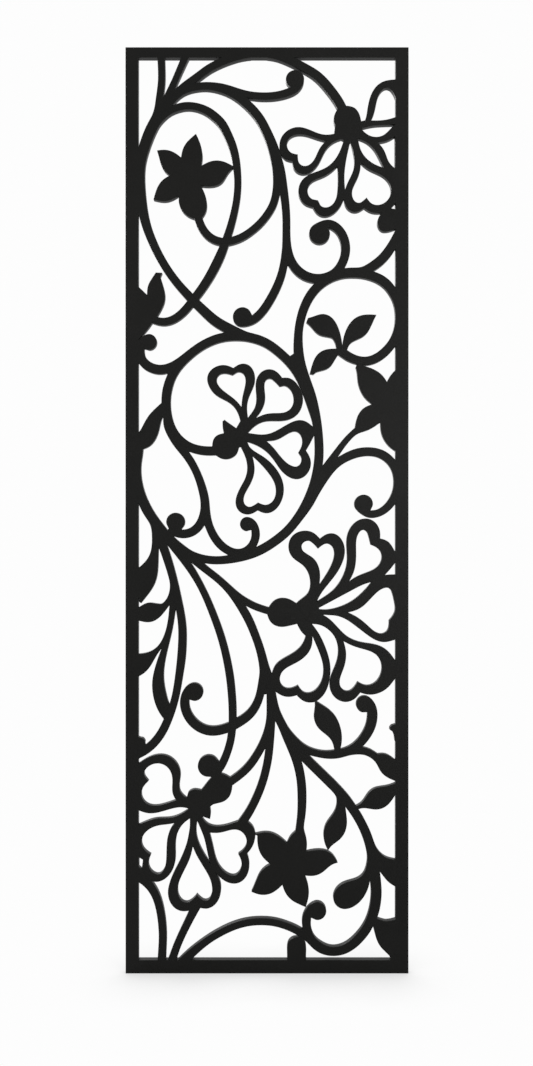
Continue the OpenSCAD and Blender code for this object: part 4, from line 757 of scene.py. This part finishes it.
def is_eased(edge, contacts):
    """Whether an edge of a bar is rounded.

    It is a sharp one that runs round the front or the back clear of all contacts, or
    from front to back at an outer corner of the screen.
    """
    if edge.calc_face_angle(0.0) < SHARP_EDGE:
        return False
    a, b = (vert.co for vert in edge.verts)
    middle = np.array((a + b) / 2)
    outer = np.minimum(np.abs(middle - cad_box[0]), np.abs(middle - cad_box[1])) < WELD
    if outer[0] and outer[2]:
        return True
    round_face = outer[1] and abs(a.y - b.y) < WELD
    return round_face and gap_to_contacts(middle[[0, 2]], contacts) > WELD


def coated_bar(node_name, all_contacts):
    """A frame bar from its CAD solid, with the edges of its faces rounded.

    Its loose triangles are joined to flat faces, cut across at the ends of each contact.
    The edges keep their corner along the contacts, where bars and plate are flush.
    """
    contacts = contacts_on(node_name, all_contacts)
    shape = bmesh.new()
    shape.from_mesh(nodes[node_name].data)
    merge_near(shape, WELD)
    bmesh.ops.dissolve_limit(shape, angle_limit=FLAT_TURN, verts=shape.verts,
                             edges=shape.edges)
    for line in contacts:
        way = Vector((line[2] - line[0], 0.0, line[3] - line[1]))
        for x, z in line.reshape(2, 2).tolist():
            bmesh.ops.bisect_plane(shape, geom=shape.verts[:] + shape.edges[:] + shape.faces[:],
                                   dist=WELD, plane_co=(x, 0.0, z), plane_no=way)
    merge_near(shape, WELD)
    shape.normal_update()
    for face in shape.faces:
        face.smooth = False
    weight = shape.edges.layers.float.new("bevel_weight_edge")
    for edge in shape.edges:
        edge[weight] = float(is_eased(edge, contacts))
    mesh = bpy.data.meshes.new("coated_" + node_name)
    shape.to_mesh(mesh)
    shape.free()
    if "custom_normal" in mesh.attributes:
        mesh.attributes.remove(mesh.attributes["custom_normal"])
    piece = shown(mesh)
    bevel = piece.modifiers.new("eased", "BEVEL")
    bevel.width = EDGE_ROUND
    bevel.segments = EDGE_SECTIONS - 1
    bevel.limit_method = "WEIGHT"
    bevel.use_clamp_overlap = False
    return piece


# ---------------------------------------------------------------- camera and studio
def make_camera():
    """The camera of the photograph: level with the lower middle of the screen."""
    data = bpy.data.cameras.new("camera")
    data.sensor_width = FILM_WIDTH
    data.lens = LENS
    data.clip_start, data.clip_end = SIGHT
    eye = bpy.data.objects.new("camera", data)
    eye.location = EYE
    eye.rotation_euler = (math.pi / 2 - LOOK_DOWN, 0.0, 0.0)
    scene.collection.objects.link(eye)
    scene.camera = eye


def make_world():
    """White for the camera, a white backdrop for the gloss, and even soft light for the rest."""
    world = bpy.data.worlds.new("studio")
    scene.world = world
    tree = Tree(world)
    path = tree.node("ShaderNodeLightPath")
    way = tree.node("ShaderNodeSeparateXYZ", {
        0: tree.node("ShaderNodeTexCoord").outputs["Generated"]})
    gloss = tree.ramp(way.outputs["Y"], BACKDROP_FROM, BACKDROP_FULL, SKY_LIGHT, BACKDROP_LIGHT)
    level = tree.node("ShaderNodeMix", {
        "Factor": path.outputs["Is Glossy Ray"], "A": SKY_LIGHT, "B": gloss})
    soft = tree.node("ShaderNodeBackground", {
        "Color": FULL_WHITE, "Strength": level.outputs["Result"]})
    white = tree.node("ShaderNodeBackground", {"Color": WHITE, "Strength": 1.0})
    both = tree.node("ShaderNodeMixShader", {
        0: path.outputs["Is Camera Ray"], 1: soft.outputs[0], 2: white.outputs[0]})
    tree.node("ShaderNodeOutputWorld", {"Surface": both.outputs[0]})


def floor_finish():
    """Grey paint, which the camera and the gloss see as white.

    The camera sees a painted shadow round the foot: the white is darkened where less of the
    sky is seen from the floor. The gloss sees the white grow from the screen's middle backwards.
    """
    finish = bpy.data.materials.new("floor")
    tree = Tree(finish)
    path = tree.node("ShaderNodeLightPath")
    # Painted shadow: the camera's white is darkened round the foot by ambient occlusion, not by
    # the lamps.
    sky = tree.node("ShaderNodeAmbientOcclusion", {"Distance": PAINTED_SHADOW_REACH}, samples=PAINTED_SHADOW_RAYS)
    shade = tree.ramp(sky.outputs["AO"], PAINTED_SHADOW_FROM, PAINTED_SHADOW_TO, PAINTED_SHADOW_DARK, 1.0)
    seen = tree.node("ShaderNodeEmission", {"Color": WHITE, "Strength": shade})
    paint = tree.node("ShaderNodeBsdfDiffuse", {"Color": FLOOR_PAINT})
    way = tree.node("ShaderNodeSeparateXYZ", {0: tree.object_place()})
    gloss = tree.ramp(way.outputs["Y"], 0.0, GLOSS_FLOOR, 0.0, 1.0)
    bright = tree.node("ShaderNodeEmission", {"Color": WHITE, "Strength": BACKDROP_LIGHT})
    mirrored = tree.node("ShaderNodeMixShader", {
        0: tree.maths("MULTIPLY", path.outputs["Is Glossy Ray"], gloss),
        1: paint.outputs[0], 2: bright.outputs[0]})
    both = tree.node("ShaderNodeMixShader", {
        0: path.outputs["Is Camera Ray"], 1: mirrored.outputs[0], 2: seen.outputs[0]})
    tree.node("ShaderNodeOutputMaterial", {"Surface": both.outputs[0]})
    return finish


def make_floor():
    """A wide flat floor just under the foot."""
    mesh = bpy.data.meshes.new("floor")
    far = FLOOR_REACH
    mesh.from_pydata([(-far, -far, 0), (far, -far, 0), (far, far, 0), (-far, far, 0)],
                     [], [(0, 1, 2, 3)])
    floor = shown(mesh)
    floor.location.z = -FLOOR_DROP
    set_finish(floor, floor_finish())


def make_lamp(name, place, aim, size, watts):
    """A soft lamp of a width and height at a place, turned to a point."""
    data = bpy.data.lights.new(name, "AREA")
    data.shape = "RECTANGLE"
    data.size, data.size_y = size
    data.energy = watts
    lamp = bpy.data.objects.new(name, data)
    lamp.location = place
    lamp.rotation_euler = (Vector(aim) - Vector(place)).to_track_quat("-Z", "Y").to_euler()
    scene.collection.objects.link(lamp)


# ---------------------------------------------------------------- build
make_camera()
make_world()
make_floor()
for lamp in LAMPS:
    make_lamp(*lamp)

coat = powder_coat()
blackened = black_screw()
for screws in ("corner_screws", "panel_screws"):
    set_finish(nodes[screws], blackened)

plate_loops = front_loops(nodes["scroll_panel"])
contacts = contact_lines(plate_loops)
coated = {bar: coated_bar(bar, contacts)
          for bar in ("top_rail", "bottom_rail", "left_stile", "right_stile")}
plate_low, plate_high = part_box("scroll_panel")
coated["scroll_panel"] = rounded_plate("scroll_plate", plate_loops, plate_low[1], plate_high[1])
for node_name, piece in coated.items():
    set_finish(piece, coat)
    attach(piece, "root")
    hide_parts(node_name)

scene.view_settings.view_transform = "Standard"
